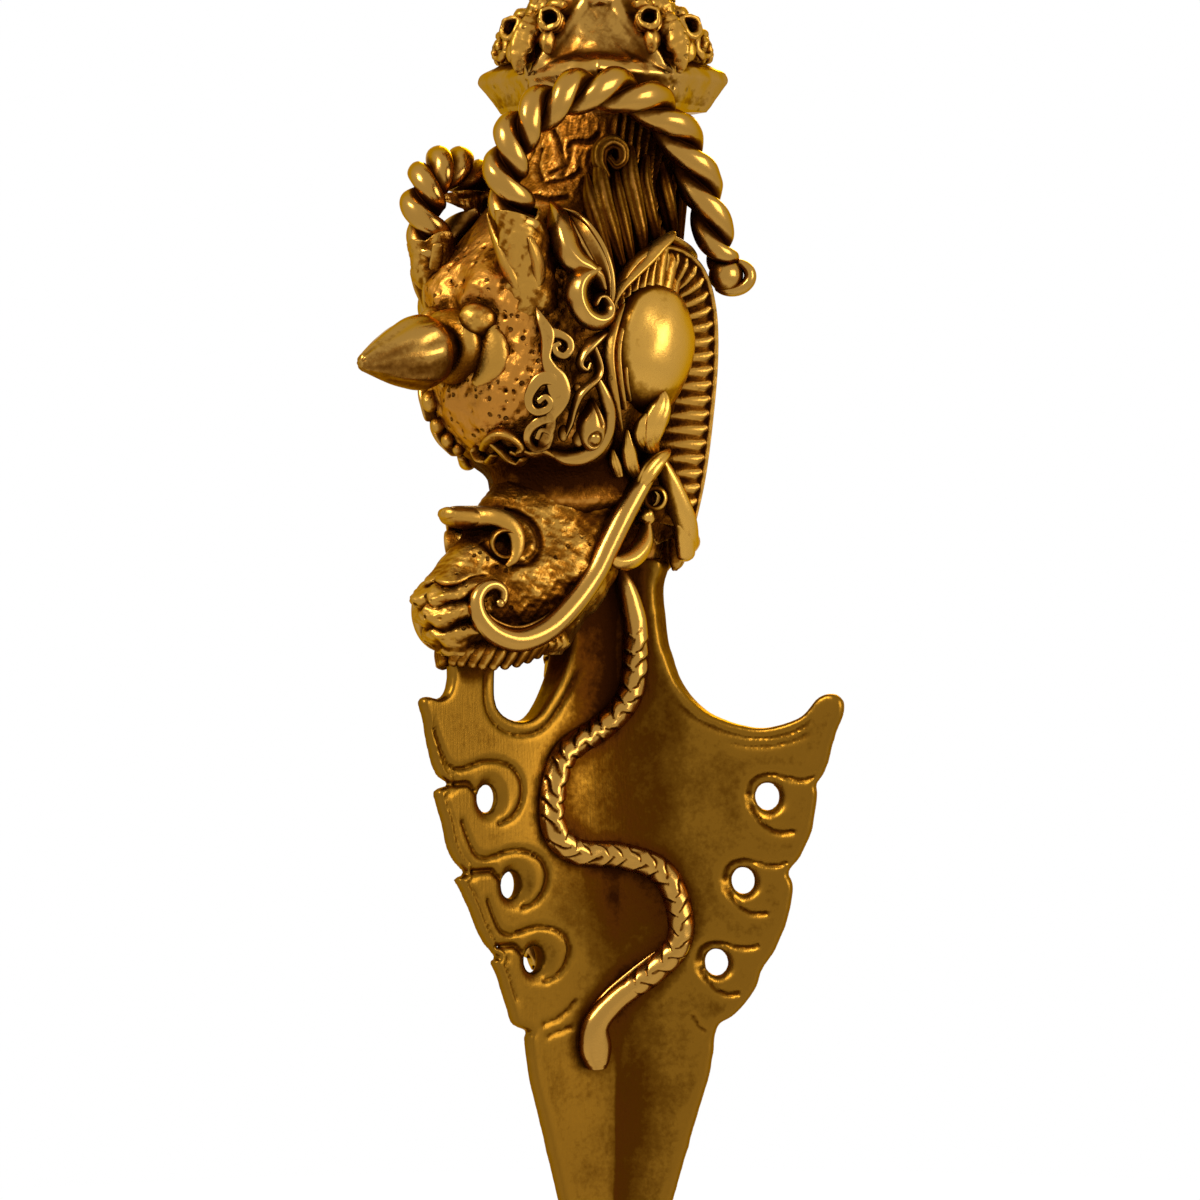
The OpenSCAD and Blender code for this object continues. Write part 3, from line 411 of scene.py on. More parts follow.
def gilt_bronze(name, bright, gold, deep, rough, grain, grain_depth, grime, pits=0.0, brush=0.0):
    """Fire-gilt cast bronze: worn bright where it stands proud; brown in its hollows, where patina that
    polish never reached is mixed with painted shade.
    """
    finish = bpy.data.materials.new(name)
    finish.use_nodes = True
    tree = finish.node_tree
    shader = tree.nodes["Principled BSDF"]
    place = add(tree, "ShaderNodeTexCoord").outputs["Object"]
    relief, shade_and_grime, pitted, patina_and_shade = (
        add(tree, "ShaderNodeAttribute", {"attribute_name": layer}).outputs["Fac"]
        for layer in ("relief", "shade_and_grime", "pitted", "patina_and_shade"))
    blotch, speck, fine = (
        add(tree, "ShaderNodeTexNoise", {"Scale": per_mm(size), "Detail": detail, "Roughness": broken},
            Vector=place).outputs["Fac"]
        for size, detail, broken in ((7, 4.0, 0.6), (0.9, 3.0, 0.65), (grain, 2.0, 0.55)))
    # Grime and painted shade gather in hollows and occluded places, and their edge is broken up by two noises
    broad = add(tree, MATH, {"operation": "MULTIPLY_ADD", 1: 0.7, 2: -0.35}, i0=blotch)
    narrow = add(tree, MATH, {"operation": "MULTIPLY_ADD", 1: 0.5, 2: -0.25}, i0=speck)
    ragged = add(tree, MATH, {"operation": "ADD"}, i0=broad.outputs[0], i1=narrow.outputs[0])
    sunk = add(tree, MATH, {"operation": "MULTIPLY_ADD", 1: -2.6, 2: grime}, i0=relief)
    hollow_grime_and_shade = add(tree, MATH, {"operation": "MULTIPLY_ADD", 1: 1.25}, i0=shade_and_grime, i2=sunk.outputs[0])
    patina_grime_and_shade = add(tree, MATH, {"operation": "ADD"}, i0=hollow_grime_and_shade.outputs[0], i1=patina_and_shade)
    grime_and_shade = add(tree, MATH, {"operation": "ADD"}, i0=patina_grime_and_shade.outputs[0], i1=ragged.outputs[0]).outputs[0]
    ramp = add(tree, "ShaderNodeValToRGB", i0=grime_and_shade)
    stops = ramp.color_ramp.elements
    stops[0].position, stops[0].color = 0.0, linear(bright)
    stops[1].position, stops[1].color = 1.0, linear(DARK)
    for at, colour in ((0.2, gold), (0.47, deep), (0.74, RED_BROWN)):
        stops.new(at).color = linear(colour)
    # Pits that gas left in the casting, about 0.6 mm wide and 1.9 mm apart
    cells = add(tree, "ShaderNodeTexVoronoi", {"Scale": per_mm(1.9), "Randomness": 1.0}, Vector=place)
    hole = add(tree, "ShaderNodeMapRange", {1: 0.13, 2: 0.22, 3: 1.0, 4: 0.0}, i0=cells.outputs["Distance"])
    some = add(tree, MATH, {"operation": "MULTIPLY_ADD", 1: 1.0, 2: pits, "use_clamp": True}, i0=pitted)
    hole = add(tree, MATH, {"operation": "MULTIPLY"}, i0=hole.outputs[0], i1=some.outputs[0]).outputs[0]
    colour = add(tree, "ShaderNodeMix", {"data_type": "RGBA", 7: linear(DARK)}, i0=hole,
                 i6=ramp.outputs["Color"])
    tree.links.new(colour.outputs[2], shader.inputs["Base Color"])
    shader.inputs["Metallic"].default_value = 1.0
    # Gold keeps its colour where it is seen at a glance
    shader.inputs["Specular Tint"].default_value = linear(EDGE_GOLD)
    matt = add(tree, "ShaderNodeMapRange", {1: 0.1, 2: 0.85, 3: rough, 4: 0.62}, i0=grime_and_shade)
    uneven = add(tree, MATH, {"operation": "MULTIPLY_ADD", 1: 0.16, 2: -0.08}, i0=speck)
    gloss = add(tree, MATH, {"operation": "ADD"}, i0=matt.outputs[0], i1=uneven.outputs[0])
    tree.links.new(gloss.outputs[0], shader.inputs["Roughness"])
    # Surface: cast grain, deeper where grime and painted shade darken it, polishing strokes along the height,
    # and the pits
    strokes = add(tree, "ShaderNodeMapping", {"Scale": (1.0, 1.0, 0.08)}, Vector=place)
    stroke = add(tree, "ShaderNodeTexNoise", {"Scale": per_mm(0.35), "Detail": 2.0},
                 Vector=strokes.outputs[0])
    depth = add(tree, "ShaderNodeMapRange", {1: 0.0, 2: 0.7, 3: 0.25, 4: 1.0}, i0=grime_and_shade)
    rise = add(tree, MATH, {"operation": "MULTIPLY"}, i0=fine, i1=depth.outputs[0]).outputs[0]
    line = add(tree, MATH, {"operation": "MULTIPLY_ADD", 1: brush}, i0=stroke.outputs["Fac"], i2=rise)
    sink = add(tree, MATH, {"operation": "MULTIPLY_ADD", 1: -1.6}, i0=hole, i2=line.outputs[0])
    bumps = add(tree, "ShaderNodeBump", {"Strength": 1.0, "Distance": grain_depth * MM},
                Height=sink.outputs[0])
    tree.links.new(bumps.outputs[0], shader.inputs["Normal"])
    return finish


DARK, RED_BROWN, EDGE_GOLD = "#2B1102", "#472304", "#E8C27A"
# Burnished gilding on what the hand reaches: smooth and sharp in its glints
burnished = gilt_bronze("burnished_gilding", "#A37936", "#78501C", "#502D07", 0.22, 0.5, 0.05, 0.10)
# Polished domes, a little less worn
polished = gilt_bronze("polished_gilding", "#BA8C3C", "#8E631E", "#603B08", 0.28, 0.5, 0.08, 0.02)
# Gilding over rough casting: granular, orange-brown, pitted
cast = gilt_bronze("gilding_over_rough_casting", "#A67930", "#7A4B10", "#583005", 0.36, 0.45, 0.20, 0.12,
                   0.12)
# The head's own skin: orange, granular and full of gas pits
pitted_skin = gilt_bronze("pitted_orange_casting", "#A8702A", "#865014", "#603608", 0.38, 0.45, 0.26, 0.06,
                          0.10)
# Chased blade faces: filed flat along their length, mottled
filed = gilt_bronze("filed_gilt_blade", "#785214", "#5E3C0A", "#452502", 0.34, 0.6, 0.05, 0.12, 0.02, 0.5)
# Hair and mane, hardly polished: dark between the strands, with patina and painted shade
smoked = gilt_bronze("smoke_darkened_gilding", "#8A5C24", "#63400D", "#452504", 0.40, 0.4, 0.14, 0.42)


# Blade: a fin is a drawing of reach against height that is given a thickness
FIN_ANGLES = (-90, 30, 150)
REACH = [
    (0, 0.6), (3.2, 1.7), (10.5, 4.0), (21, 7.0), (31.6, 10.1), (42, 13.6), (52, 16.4), (58, 19.4),
    (66, 24.2), (75, 28.6), (84, 32.0), (94, 34.6), (BLADE_LEN, FIN_REACH), (Z_MOUTH, FIN_REACH)]
LOW_EDGE = [
    (-4, -0.4), (0.55, 0), (1.7, 3.2), (4.0, 10.5), (7.0, 21), (10.0, 31), (13.0, 41), (15.2, 48),
    (16.1, 52), (16.5, 55.2)]
FRONT_EDGE = [
    (16.2, 56.4), (19.0, 57.6), (20.0, 60), (21.2, 63), (22.4, 65.6), (23.3, 67.0), (22.3, 67.7),
    (24.2, 69.4), (25.9, 72), (27.4, 75), (29.2, 78), (30.2, 79.5), (28.5, 80.3), (30.4, 82.2), (31.5, 84),
    (32.3, 87), (33.4, 90), (34.0, 92.3), (31.9, 93.5), (33.4, 94.6), (34.6, 97), (35.5, 100), (36.1, 103),
    (36.9, 105.4), (35.8, 106.2), (33.6, 105.8), (32.0, 106.6), (31.3, 108.6), (31.2, 111), (30.6, 116),
    (9.6, 117.5), (8.6, 121), (8.6, 126.2), (-4, 126.2)]
SIDE_EDGE = [
    (17.2, 56.8), (19.3, 58), (21.4, 60.2), (22.9, 62.6), (23.8, 65), (25.6, 67.6), (27.1, 70.6),
    (28.1, 74), (28.6, 77.6), (27.9, 79.4), (29.6, 81.6), (31.2, 84.8), (32.0, 88), (32.4, 91.2),
    (32.3, 92.6), (33.6, 94.4), (34.7, 98), (35.6, 100.8), (36.4, 102.6), (36.6, 104.2), (36.3, 105.2),
    (35.4, 105.9), (34.0, 105.9), (32.6, 105.1), (30.2, 102.6), (27, 101.3), (23.6, 100.9), (20, 101.5),
    (16.2, 103), (13.2, 105.2), (11.3, 108), (10.0, 111), (9.1, 114.4), (8.6, 118), (8.4, 122),
    (8.4, 126.2), (-4, 126.2)]
JAW_OPENING = [
    (23.2, 110), (23.2, 105.4), (21.6, 103.2), (18.5, 102.2), (15.6, 102.8), (13.2, 105.2), (11.0, 108.6),
    (9.6, 112), (9.0, 116), (9.0, 124), (11.4, 124), (12.4, 115), (16, 113), (22, 112.4)]
HOLES = {"front": [(24.4, 91.0), (20.0, 78.2), (15.6, 67.0)],
         "side": [(24.8, 90.7), (21.0, 78.2), (16.8, 66.0)]}
# Chased lines round a hole: outwards and upwards from its middle
FRONT_CURL = [
    (10.6, 10.6), (9.2, 7.6), (7.9, 5.4), (6, 4.6), (4, 4.9), (1, 5.6), (-2.2, 5.4), (-4.7, 4.1),
    (-5.9, 1.8), (-5.4, -0.9), (-3.8, -2.8), (-1.6, -3.6)]
SIDE_OVER = [(-2.6, 0.2), (-2.1, 2.1), (-0.6, 3.1), (1.3, 3.3), (3.7, 2.8), (5.9, 2.6), (7.6, 3.1)]
SIDE_UNDER = [(-2.3, -1.3), (-0.6, -3.9), (1.7, -5.2), (4.2, -5.1)]
FOOT_CURLS = {"front": [[(14.4, 57.4), (12, 58), (10, 59.3), (9, 60.6)], [(13.6, 55.6), (9.4, 56.8)]],
              "side": [[(13.6, 57.9), (14.4, 56.4), (15.6, 55.6)]]}


def reach_at(z):
    """How far the fins reach at a height."""
    return np.interp(z, *zip(*REACH))


def fin_drawing(kind, u, z):
    """Outline distance and chasing depth of a fin over reach u and height z."""
    outline = LOW_EDGE + (FRONT_EDGE if kind == "front" else SIDE_EDGE)
    outline = smooth(outline, 5 * len(outline))
    edge = in_outline(u, z, outline) + 0.07 * waves(np.stack([u, z, 0 * u], -1), 5, 3)
    saddle = np.abs(edge + 1.5)
    depth = 0 * u
    if kind == "front":
        opening = in_outline(u, z, smooth(JAW_OPENING, 70))
        edge = np.maximum(edge, -opening)
        depth += 0.5 * bump(opening - 2.0, 0.32) * eased((111 - z) / 3)
        # A chased line turns the edge into a wire between the notches
        wired = eased((z - 60) / 2) * eased((104 - z) / 2) * eased((opening - 3) / 2)
        depth += 0.34 * bump(edge + 1.1, 0.25) * wired
    else:
        window = eased((u - 10.5) / 3) * eased((32.5 - u) / 2) * eased((z - 96) / 2)
        depth += 0.4 * window * (bump(saddle, 0.3) + 0.7 * bump(edge + 2.7, 0.3) * eased((u - 18) / 3))
    for n, (hu, hz) in enumerate(HOLES[kind]):
        size = (1, 0.92, 0.88)[n]
        away = np.hypot(u - hu, (z - hz) * 0.92)
        edge = np.maximum(edge, HOLE_R - away)
        # The metal dips into the hole like a dish
        depth += 0.75 * (1 - eased((away - HOLE_R) / 1.8))
        curls = [FRONT_CURL] if kind == "front" else [SIDE_OVER, SIDE_UNDER]
        for curl in curls:
            line = smooth([(hu + size * a, hz + size * b) for a, b in curl], 40)
            depth += 0.62 * bump(to_line(u, z, line), 0.32)
        if kind == "front":
            slit = to_line(u, z, [(hu + 8.6 * size, hz + 2.3), (hu + 4.2, hz + 2.4), (hu + 2.6, hz + 1.2)])
            depth += 0.9 * bump(slit, 0.42)
        else:
            # A lobe swells between the hole and the arc below it
            lobe = bump(np.hypot(u - hu - 2.0 * size, (z - hz + 2.9 * size) * 1.3), 1.6)
            depth -= 0.4 * lobe * (away > HOLE_R + 0.4)
    for line in FOOT_CURLS[kind]:
        depth += 0.4 * bump(to_line(u, z, line), 0.26)
    return edge, depth


def hollow_face(angle, z, reach, half, s):
    """A Bezier curve over s from 0 to 1: from the edge of the fin at this angle to the next fin's edge."""
    e, n, f, m = (np.array(cos_sin(angle + more)) for more in (0, 90, 120, 30))
    pull = 0.26 * (1 - eased((z / BLADE_LEN - 0.72) / 0.3))
    q = 1 - s
    return (q**3 * (reach * e + half * n) + 3 * q * q * s * (pull * reach * e + 1.3 * half * n)
            + 3 * q * s * s * (pull * reach * f + 1.3 * half * m) + s**3 * (reach * f + half * m))


def fin_thickness(z):
    """Half thickness of a fin from its edge in to the valley: a hollow face, flattened low down."""
    reach = float(reach_at(z))
    half = min(FIN_EDGE / 2, 0.3 * reach)
    xy = hollow_face(0, z, reach, half, np.linspace(0, 0.5, 40)[:, None])
    u, w = xy[::-1, 0], xy[::-1, 1]
    flat = w[0] + (w[-1] - w[0]) * (u - u[0]) / (u[-1] - u[0])
    return u, w + (flat - w) * 0.45 * (1 - eased((z - 36) / 26))


def rounded_max(a, b, r):
    """The greater of two fields, with the corner between them rounded."""
    h = np.clip(0.5 + 0.5 * (a - b) / r, 0, 1)
    return b + (a - b) * h + r * h * (1 - h)


def make_blade(cell=0.42):
    """Blade field: in each third of the turn, thickness and outline of the fin that stands there."""
    # The field's box reaches past the fins, the point and the neck by a few cells
    xs, ys, zs = (np.arange(low, high, cell) for low, high in ((-33.4, 33.5), (-38.4, 19.4), (-0.9, 127.2)))
    x, y = np.meshgrid(xs, ys, indexing="ij")
    field = np.full((len(xs), len(ys), len(zs)), 5, np.float32)
    reach_grid, height_grid = np.meshgrid(np.arange(-4.5, 39, 0.2), zs, indexing="ij")
    drawings = {kind: fin_drawing(kind, reach_grid, height_grid) for kind in ("front", "side")}
    turn = np.degrees(np.arctan2(y, x))
    for angle, kind in zip(FIN_ANGLES, ("front", "side", "side")):
        c, s = cos_sin(angle)
        mine = np.abs((turn - angle + 180) % 360 - 180) <= 60.001
        u, w = (x * c + y * s)[mine], np.abs(-x * s + y * c)[mine]
        edge, depth = drawings[kind]
        for k, z in enumerate(zs):
            us, hs = fin_thickness(min(z, Z_MOUTH))
            slope = np.gradient(hs, us)
            half = np.interp(u, us, hs)
            lean = 1 / np.sqrt(1 + np.interp(u, us, slope) ** 2)
            cut = np.interp(u, reach_grid[:, 0], depth[:, k]) * eased((u - us[0] - 1) / 2)
            side = (w - half + cut) * lean
            field[..., k][mine] = rounded_max(side, np.interp(u, reach_grid[:, 0], edge[:, k]), 0.8)
    points, faces = skin_field(field, np.array([xs[0], ys[0], zs[0]]), cell)
    # Filing left the fins golden and the valleys brown; the valleys also carry painted shade, the side fins
    # are painted darker as shade, and painted shadow lies in the valleys below the snakes
    turn = np.degrees(np.arctan2(points[:, 1], points[:, 0]))
    off = np.stack([np.abs((turn - angle + 180) % 360 - 180) for angle in FIN_ANGLES])
    share = np.hypot(points[:, 0], points[:, 1]) * np.cos(np.radians(off.min(0)))
    share = share / reach_at(points[:, 2])
    front, height = eased(0.5 + (off[1:].min(0) - off[0]) / 8), points[:, 2]
    low = eased((54 - height) / 8)
    soft = 0.06 * waves(points, 9, 51, 2)
    valley = 0.4 * (1 - low)
    stem = (valley + 0.16) * (1 - eased((share + soft - 0.03) / 0.36)) - 0.16 + 0.04 * low
    wing = (valley + 0.5 * low + 0.08) * (1 - eased((share + soft - 0.06) / (0.5 + 0.4 * low))) - 0.08
    patina_and_shade = wing + (stem - wing) * front
    patina_and_shade += 0.6 * bump(share, 0.45) * bump(height - 76, 6) * (0.5 + 0.5 * front)
    patina_and_shade += 0.3 * bump(share - 0.34, 0.1) * bump(height - 87, 5) * front
    # The deep neck between the stem and the snakes is painted black, as shade
    patina_and_shade += 0.5 * eased((height - 101) / 6) * (1 - eased((share - 0.2) / 0.25)) * front
    make("blade_body", (points, faces), ["blade"], filed, patina_and_shade)


def fin_face(angle, z, s):
    """Places on the hollow face between the fin at this angle and the next, for s from 0 to 1."""
    reach = reach_at(z)[:, None]
    half = np.minimum(FIN_EDGE / 2, 0.3 * reach)
    return np.column_stack([hollow_face(angle, z[:, None], reach, half, s[:, None]), z])


# Snake: share of the blade's length, place across the face, thickness as a share of its body
SNAKE = [
    (1.187, 0.505, 0.15), (1.165, 0.525, 0.7), (1.13, 0.55, 0.95), (1.09, 0.565, 1), (1.01, 0.55, 1),
    (0.965, 0.47, 1), (0.925, 0.33, 1), (0.87, 0.285, 1), (0.815, 0.29, 1), (0.785, 0.36, 1),
    (0.778, 0.5, 1), (0.755, 0.63, 1), (0.7, 0.7, 1), (0.65, 0.715, 1), (0.61, 0.63, 1), (0.573, 0.48, 1),
    (0.54, 0.375, 1.15), (0.505, 0.36, 1.45), (0.478, 0.36, 0.8)]


def make_snake(name, angle):
    """A snake down a hollow face: facets cut from both sides in turn, a smooth neck and a smooth head."""
    rows = smooth(SNAKE, 620)
    z = rows[:, 0] * BLADE_LEN
    here = fin_face(angle, z, rows[:, 1])
    along = fin_face(angle, z, rows[:, 1] + 0.02) - fin_face(angle, z, rows[:, 1] - 0.02)
    out = unit(np.column_stack([along[:, 1], -along[:, 0], 0 * z]))
    half = SNAKE_D / 2 * 1.08
    wide = np.where(rows[:, 2] > 1, half + (SNAKE_HEAD_W / 2 - half) * (rows[:, 2] - 1) / 0.45,
                    half * rows[:, 2])
    high = half * np.minimum(1, rows[:, 2])
    path = here + out * (half * 0.55)
    up, across = frames(path, out)
    gone = distance_gone(path)
    a = circle(36)
    turn = ((a - math.pi / 2 + math.pi) % (2 * math.pi) - math.pi)[None]
    crest = np.abs(turn)
    # Facets about 2.6 mm long that lean back from the crest, half a step apart on the two sides
    uneven = gone[:, None] + 0.35 * np.sin(gone[:, None] * 0.9) + 0.25 * np.sin(gone[:, None] * 2.3 + turn)
    phase = (uneven / 2.6 + 0.5 * crest + 0.5 * (turn > 0)) % 1
    body = (eased((gone[-1] - 13 - gone) / 4) * eased((gone - 9) / 3))[:, None]
    notch = bump(np.minimum(phase, 1 - phase), 0.1)
    flank_depth = 0.3 + 0.7 * np.sin(np.minimum(crest * 1.5, 1.6)) ** 2
    facet = (0.32 * (1 - phase) ** 1.3 + 0.16 * notch) * flank_depth
    k = 1 - body * (facet * (crest < 1.7) - 0.1)
    ring = swept(path, up, across, wide[:, None] * np.cos(a) * k, high[:, None] * np.sin(a) * k)
    # A thin seam of wax was left standing beside the head
    seam = smooth([(0.64, 0.64), (0.61, 0.54), (0.58, 0.435), (0.55, 0.355), (0.52, 0.325), (0.49, 0.325)],
                  90)
    line = fin_face(angle, seam[:, 0] * BLADE_LEN, seam[:, 1])
    flank = fin_face(angle, seam[:, 0] * BLADE_LEN, seam[:, 1] + 0.02) - line
    rise = unit(np.column_stack([flank[:, 1], -flank[:, 0], 0 * flank[:, 0]]))
    thin = 0.15 + 0.3 * np.sin(np.linspace(0.1, 3.0, 90))
    wax = rod(line + rise * 0.1, rise, thin * 1.3, thin * 1.8, sides=14)
    # The notches between the facets are painted dark: patina mixed with painted shade
    patina_and_shade = 0.8 * notch * body * (crest < 1.7) - 0.04
    make(name + "_body", join([skin(ring), wax]), [name], burnished, patina_and_shade)


make_blade()
for snake_name, snake_angle in zip(("snake_right", "snake_back", "snake_left"), FIN_ANGLES):
    make_snake(snake_name, snake_angle)


# View of the photograph: where the camera stands, the pixel frame that places are read in, and mm per pixel
AZIMUTH, DISTANCE, TARGET_Z, ROLL, LENS, SENSOR = 47.0, 700.0, 120.0, -0.35, 140.0, 36.0
FRAME_PX, AXIS_PX, PX_MM = 1200, 606, 0.15


def seen(points):
    """Pixels at which places show in the photograph's frame: a pinhole view with a small roll."""
    x, y, z = np.moveaxis(np.asarray(points, float), -1, 0)
    (c, s), (level, tilt) = cos_sin(AZIMUTH), cos_sin(ROLL)
    k = LENS / SENSOR * FRAME_PX / (DISTANCE - (s * x - c * y))
    right, up = (c * x + s * y) * k + AXIS_PX - FRAME_PX / 2, (z - TARGET_Z) * k
    return FRAME_PX / 2 + right * level + up * tilt, FRAME_PX / 2 - up * level + right * tilt


# Skull: share of the head's height, middle's y as a share of the depth, half width, half depth
SKULL = smooth([
    (0, -0.16, 0.58, 0.56), (0.06, -0.26, 0.72, 0.68), (0.13, -0.31, 0.77, 0.72), (0.2, -0.38, 0.77, 0.7),
    (0.27, -0.51, 0.9, 0.87), (0.36, -0.56, 1, 0.95), (0.48, -0.54, 1, 1), (0.6, -0.54, 0.94, 0.97),
    (0.7, -0.41, 0.86, 0.87), (0.81, -0.2, 0.8, 0.72), (0.91, -0.05, 0.76, 0.64), (1, 0, 0.76, 0.62)], 240)


def on_skull(share, around, lift=0.0):
    """A place on the skull's ellipses: height share, angle from the face towards +X, and lift in mm."""
    share, around, lift = np.broadcast_arrays(share, around, lift)
    middle, wide, deep = (np.interp(share, SKULL[:, 0], SKULL[:, k]) for k in (1, 2, 3))
    a = np.radians(around)
    return np.stack([(wide * SKULL_W + lift) * np.sin(a),
                     middle * SKULL_D - (deep * SKULL_D + lift) * np.cos(a), Z_MOUTH + share * HEAD_LEN], -1)


def skull_out(share, around):
    """The way out of the skull: from a place on it to the same place lifted."""
    return unit(on_skull(share, around, 1.0) - on_skull(share, around, 0.0))


def skull_place(pixels, lifts=0.5):
    """Height share and angle of the place on the skull, lifted so far, that shows at each pixel."""
    fan = np.arange(-46, 138, 0.2)
    found = []
    for (px, py), lift in zip(pixels, np.broadcast_to(lifts, len(pixels))):
        share = 0.5
        for _ in range(6):
            shown_x, shown_y = seen(on_skull(share, fan, lift))
            best = int(np.argmin(np.abs(shown_x - px)))
            share = min(max(share + (shown_y[best] - py) * PX_MM / HEAD_LEN, -0.1), 1.05)
        found.append((share, fan[best]))
    return np.array(found)


def skull_strip(rows, n=90, section=None, sides=20, swell=1.0):
    """A rod on the skull through rows of pixel x, pixel y, lift, half width and half height."""
    rows = np.array(rows, float)
    places = skull_place(rows[:, :2], rows[:, 2])
    r = smooth(np.column_stack([places, rows[:, 2:]]), n)
    return rod(on_skull(r[:, 0], r[:, 1], r[:, 2]), skull_out(r[:, 0], r[:, 1]), r[:, 3] * swell, r[:, 4],
               section, sides)


def both_sides(name, shell, nodes, finish, patina_and_shade=0.0):
    """The same shell on the makara's right and, mirrored, on its left."""
    make(name + "_right", shell, [nodes + "_right"], finish, patina_and_shade)
    make(name + "_left", mirrored(shell), [nodes + "_left"], finish, patina_and_shade)


def on_right(points):
    """The points, with those on the makara's left mirrored to its right."""
    return points * np.where(points[..., :1] < 0, [-1, 1, 1], [1, 1, 1])


def off_line(line, base, n=24):
    """Distance in mm from places on the skull to a line of pixels laid on it, on one side or mirrored."""
    path = smooth(on_skull(*skull_place(line, 0.0).T), n)
    near = on_right(base)
    best = np.full(base.shape[:-1], 1e9)
    for step in path:
        best = np.minimum(best, np.linalg.norm(near - step, axis=-1))
    return best


# Lumps and hollows of the head: a line of pixels, rise in mm, half width in mm
RELIEF = [
    ([(571, 438), (573, 412), (584, 390), (598, 378)], 0.7, 1.7),
    ([(606, 392), (611, 415), (608, 440)], 1.0, 1.5), ([(600, 452), (585, 460), (562, 461)], 1.1, 1.7),
    ([(582, 402), (586, 430)], -0.7, 1.7), ([(616, 372), (617, 420), (612, 452)], -0.9, 1.1),
    ([(560, 352), (574, 372)], -0.7, 1.6), ([(566, 292), (560, 318), (574, 340)], -0.8, 2.2),
    ([(545, 268), (552, 290)], 0.8, 3.0), ([(596, 330), (604, 360)], 0.5, 2.0),
    ([(482, 268), (487, 282)], 1.5, 2.4), ([(474, 285), (470, 296)], 0.9, 1.8),
    ([(498, 283), (508, 296)], 0.8, 2.0), ([(540, 486), (585, 482)], -0.6, 2.5),
    ([(450, 420), (455, 445)], 0.5, 2.0)]
# Lines cut into the neck in front
NECK_LINES = [
    [(552, 131), (560, 150), (562, 165), (549, 173)],
    [(562, 174), (567, 160), (570, 143), (590, 142), (597, 135)],
    [(580, 170), (575, 175), (560, 180), (545, 183)],
    [(533, 196), (548, 200), (566, 197)],
    [(540, 150), (536, 166), (541, 180)]]


def make_skull():
    """Skull ellipses from palate to crown, with lumps, hollows, hair and cut lines as lift."""
    share, around = np.meshgrid(np.linspace(0.001, 0.999, 210), np.linspace(0, 360, 360, endpoint=False),
                                indexing="ij")
    base = on_skull(share, around)
    a = np.abs((around + 180) % 360 - 180)
    face = eased((0.76 - share) / 0.1) * eased((78 - a) / 15) * eased((share - 0.19) / 0.07)
    lift = (0.5 * waves(base, 9, 1, 2) + 0.22 * waves(base, 2.2, 2, 3)) * (0.35 + 0.65 * face)
    for line, rise, reach in RELIEF:
        lift += rise * bump(off_line(line, base), reach)
    # Small gas holes sprinkled over the brow
    holes = np.random.default_rng(5)
    for share0, around0, wide in zip(holes.uniform(0.25, 0.74, 110), holes.uniform(-8, 62, 110),
                                     holes.uniform(0.22, 0.42, 110)):
        here = on_skull(share0, around0)
        near = np.abs(base[..., 2] - here[2]) < 1.5
        spot = np.linalg.norm(on_right(base[near]) - here, axis=-1)
        lift[near] -= 0.5 * bump(spot, wide)
    # Hair in the hollow behind the horn: strands that sway down and part round a whorl
    hair = eased((a - 52) / 8) * eased((share - 0.6) / 0.06) * eased((1.0 - share) / 0.03)
    sway = (a - 52) / 8.2 + 0.7 * np.sin(10 * share + 0.05 * a) + 0.3 * np.sin(23 * share)
    strand = np.abs(np.sin(math.pi * sway)) ** 0.6
    lift += hair * (1.4 * strand - 1.2 + 0.25 * np.abs(np.sin(3 * math.pi * sway)))
    # Below, the snout's metal covers the skull, which draws in behind it
    lift -= 1.5 * eased((0.13 - share) / 0.04) * eased((120 - a) / 20)
    # Fine upright grain of the neck, and the lines cut into it
    neck = eased((share - 0.76) / 0.05) * eased((58 - a) / 6)
    lift += neck * 0.16 * waves(base * [1, 1, 0.18], 0.9, 21, 2)
    for line in NECK_LINES:
        lift -= 0.75 * bump(off_line(line, base), 0.42)
    pits = np.clip(face * eased((share - 0.22) / 0.05) * 0.7, 0, 1)
    side = eased((0.6 - share) / 0.06) * eased((share - 0.24) / 0.05) * eased((125 - a) / 15)
    under_eye = bump(share - 0.185, 0.06) * eased((a - 8) / 12)
    # Under the eye the skin is painted darker, as the shadow of the brow
    patina_and_shade = 0.3 * neck - 0.36 * np.maximum(face, side) + 0.75 * under_eye + 0.3 * hair
    make("skull_body", skin(on_skull(share, around, lift)), ["skull"], pitted_skin, patina_and_shade, pits)


# Snout: height over the palate as a share of its drop, how far behind the tip its front circle's middle
# lies, that circle's radius, and the same for the back circle, whose middle is given by y
SNOUT = [
    (-1, 8, 4, -17, 6), (-0.7, 6.3, 5.2, -16, 8), (-0.45, 5.5, 5.6, -14, 9.4), (-0.2, 7.5, 5.4, -13, 10.2),
    (0.08, 11, 5, -11, 10.8), (0.36, 15, 5, -9, 11.2), (0.64, 18.2, 5.2, -8, 11.6),
    (0.93, 21.5, 4.5, -7.5, 10.4)]


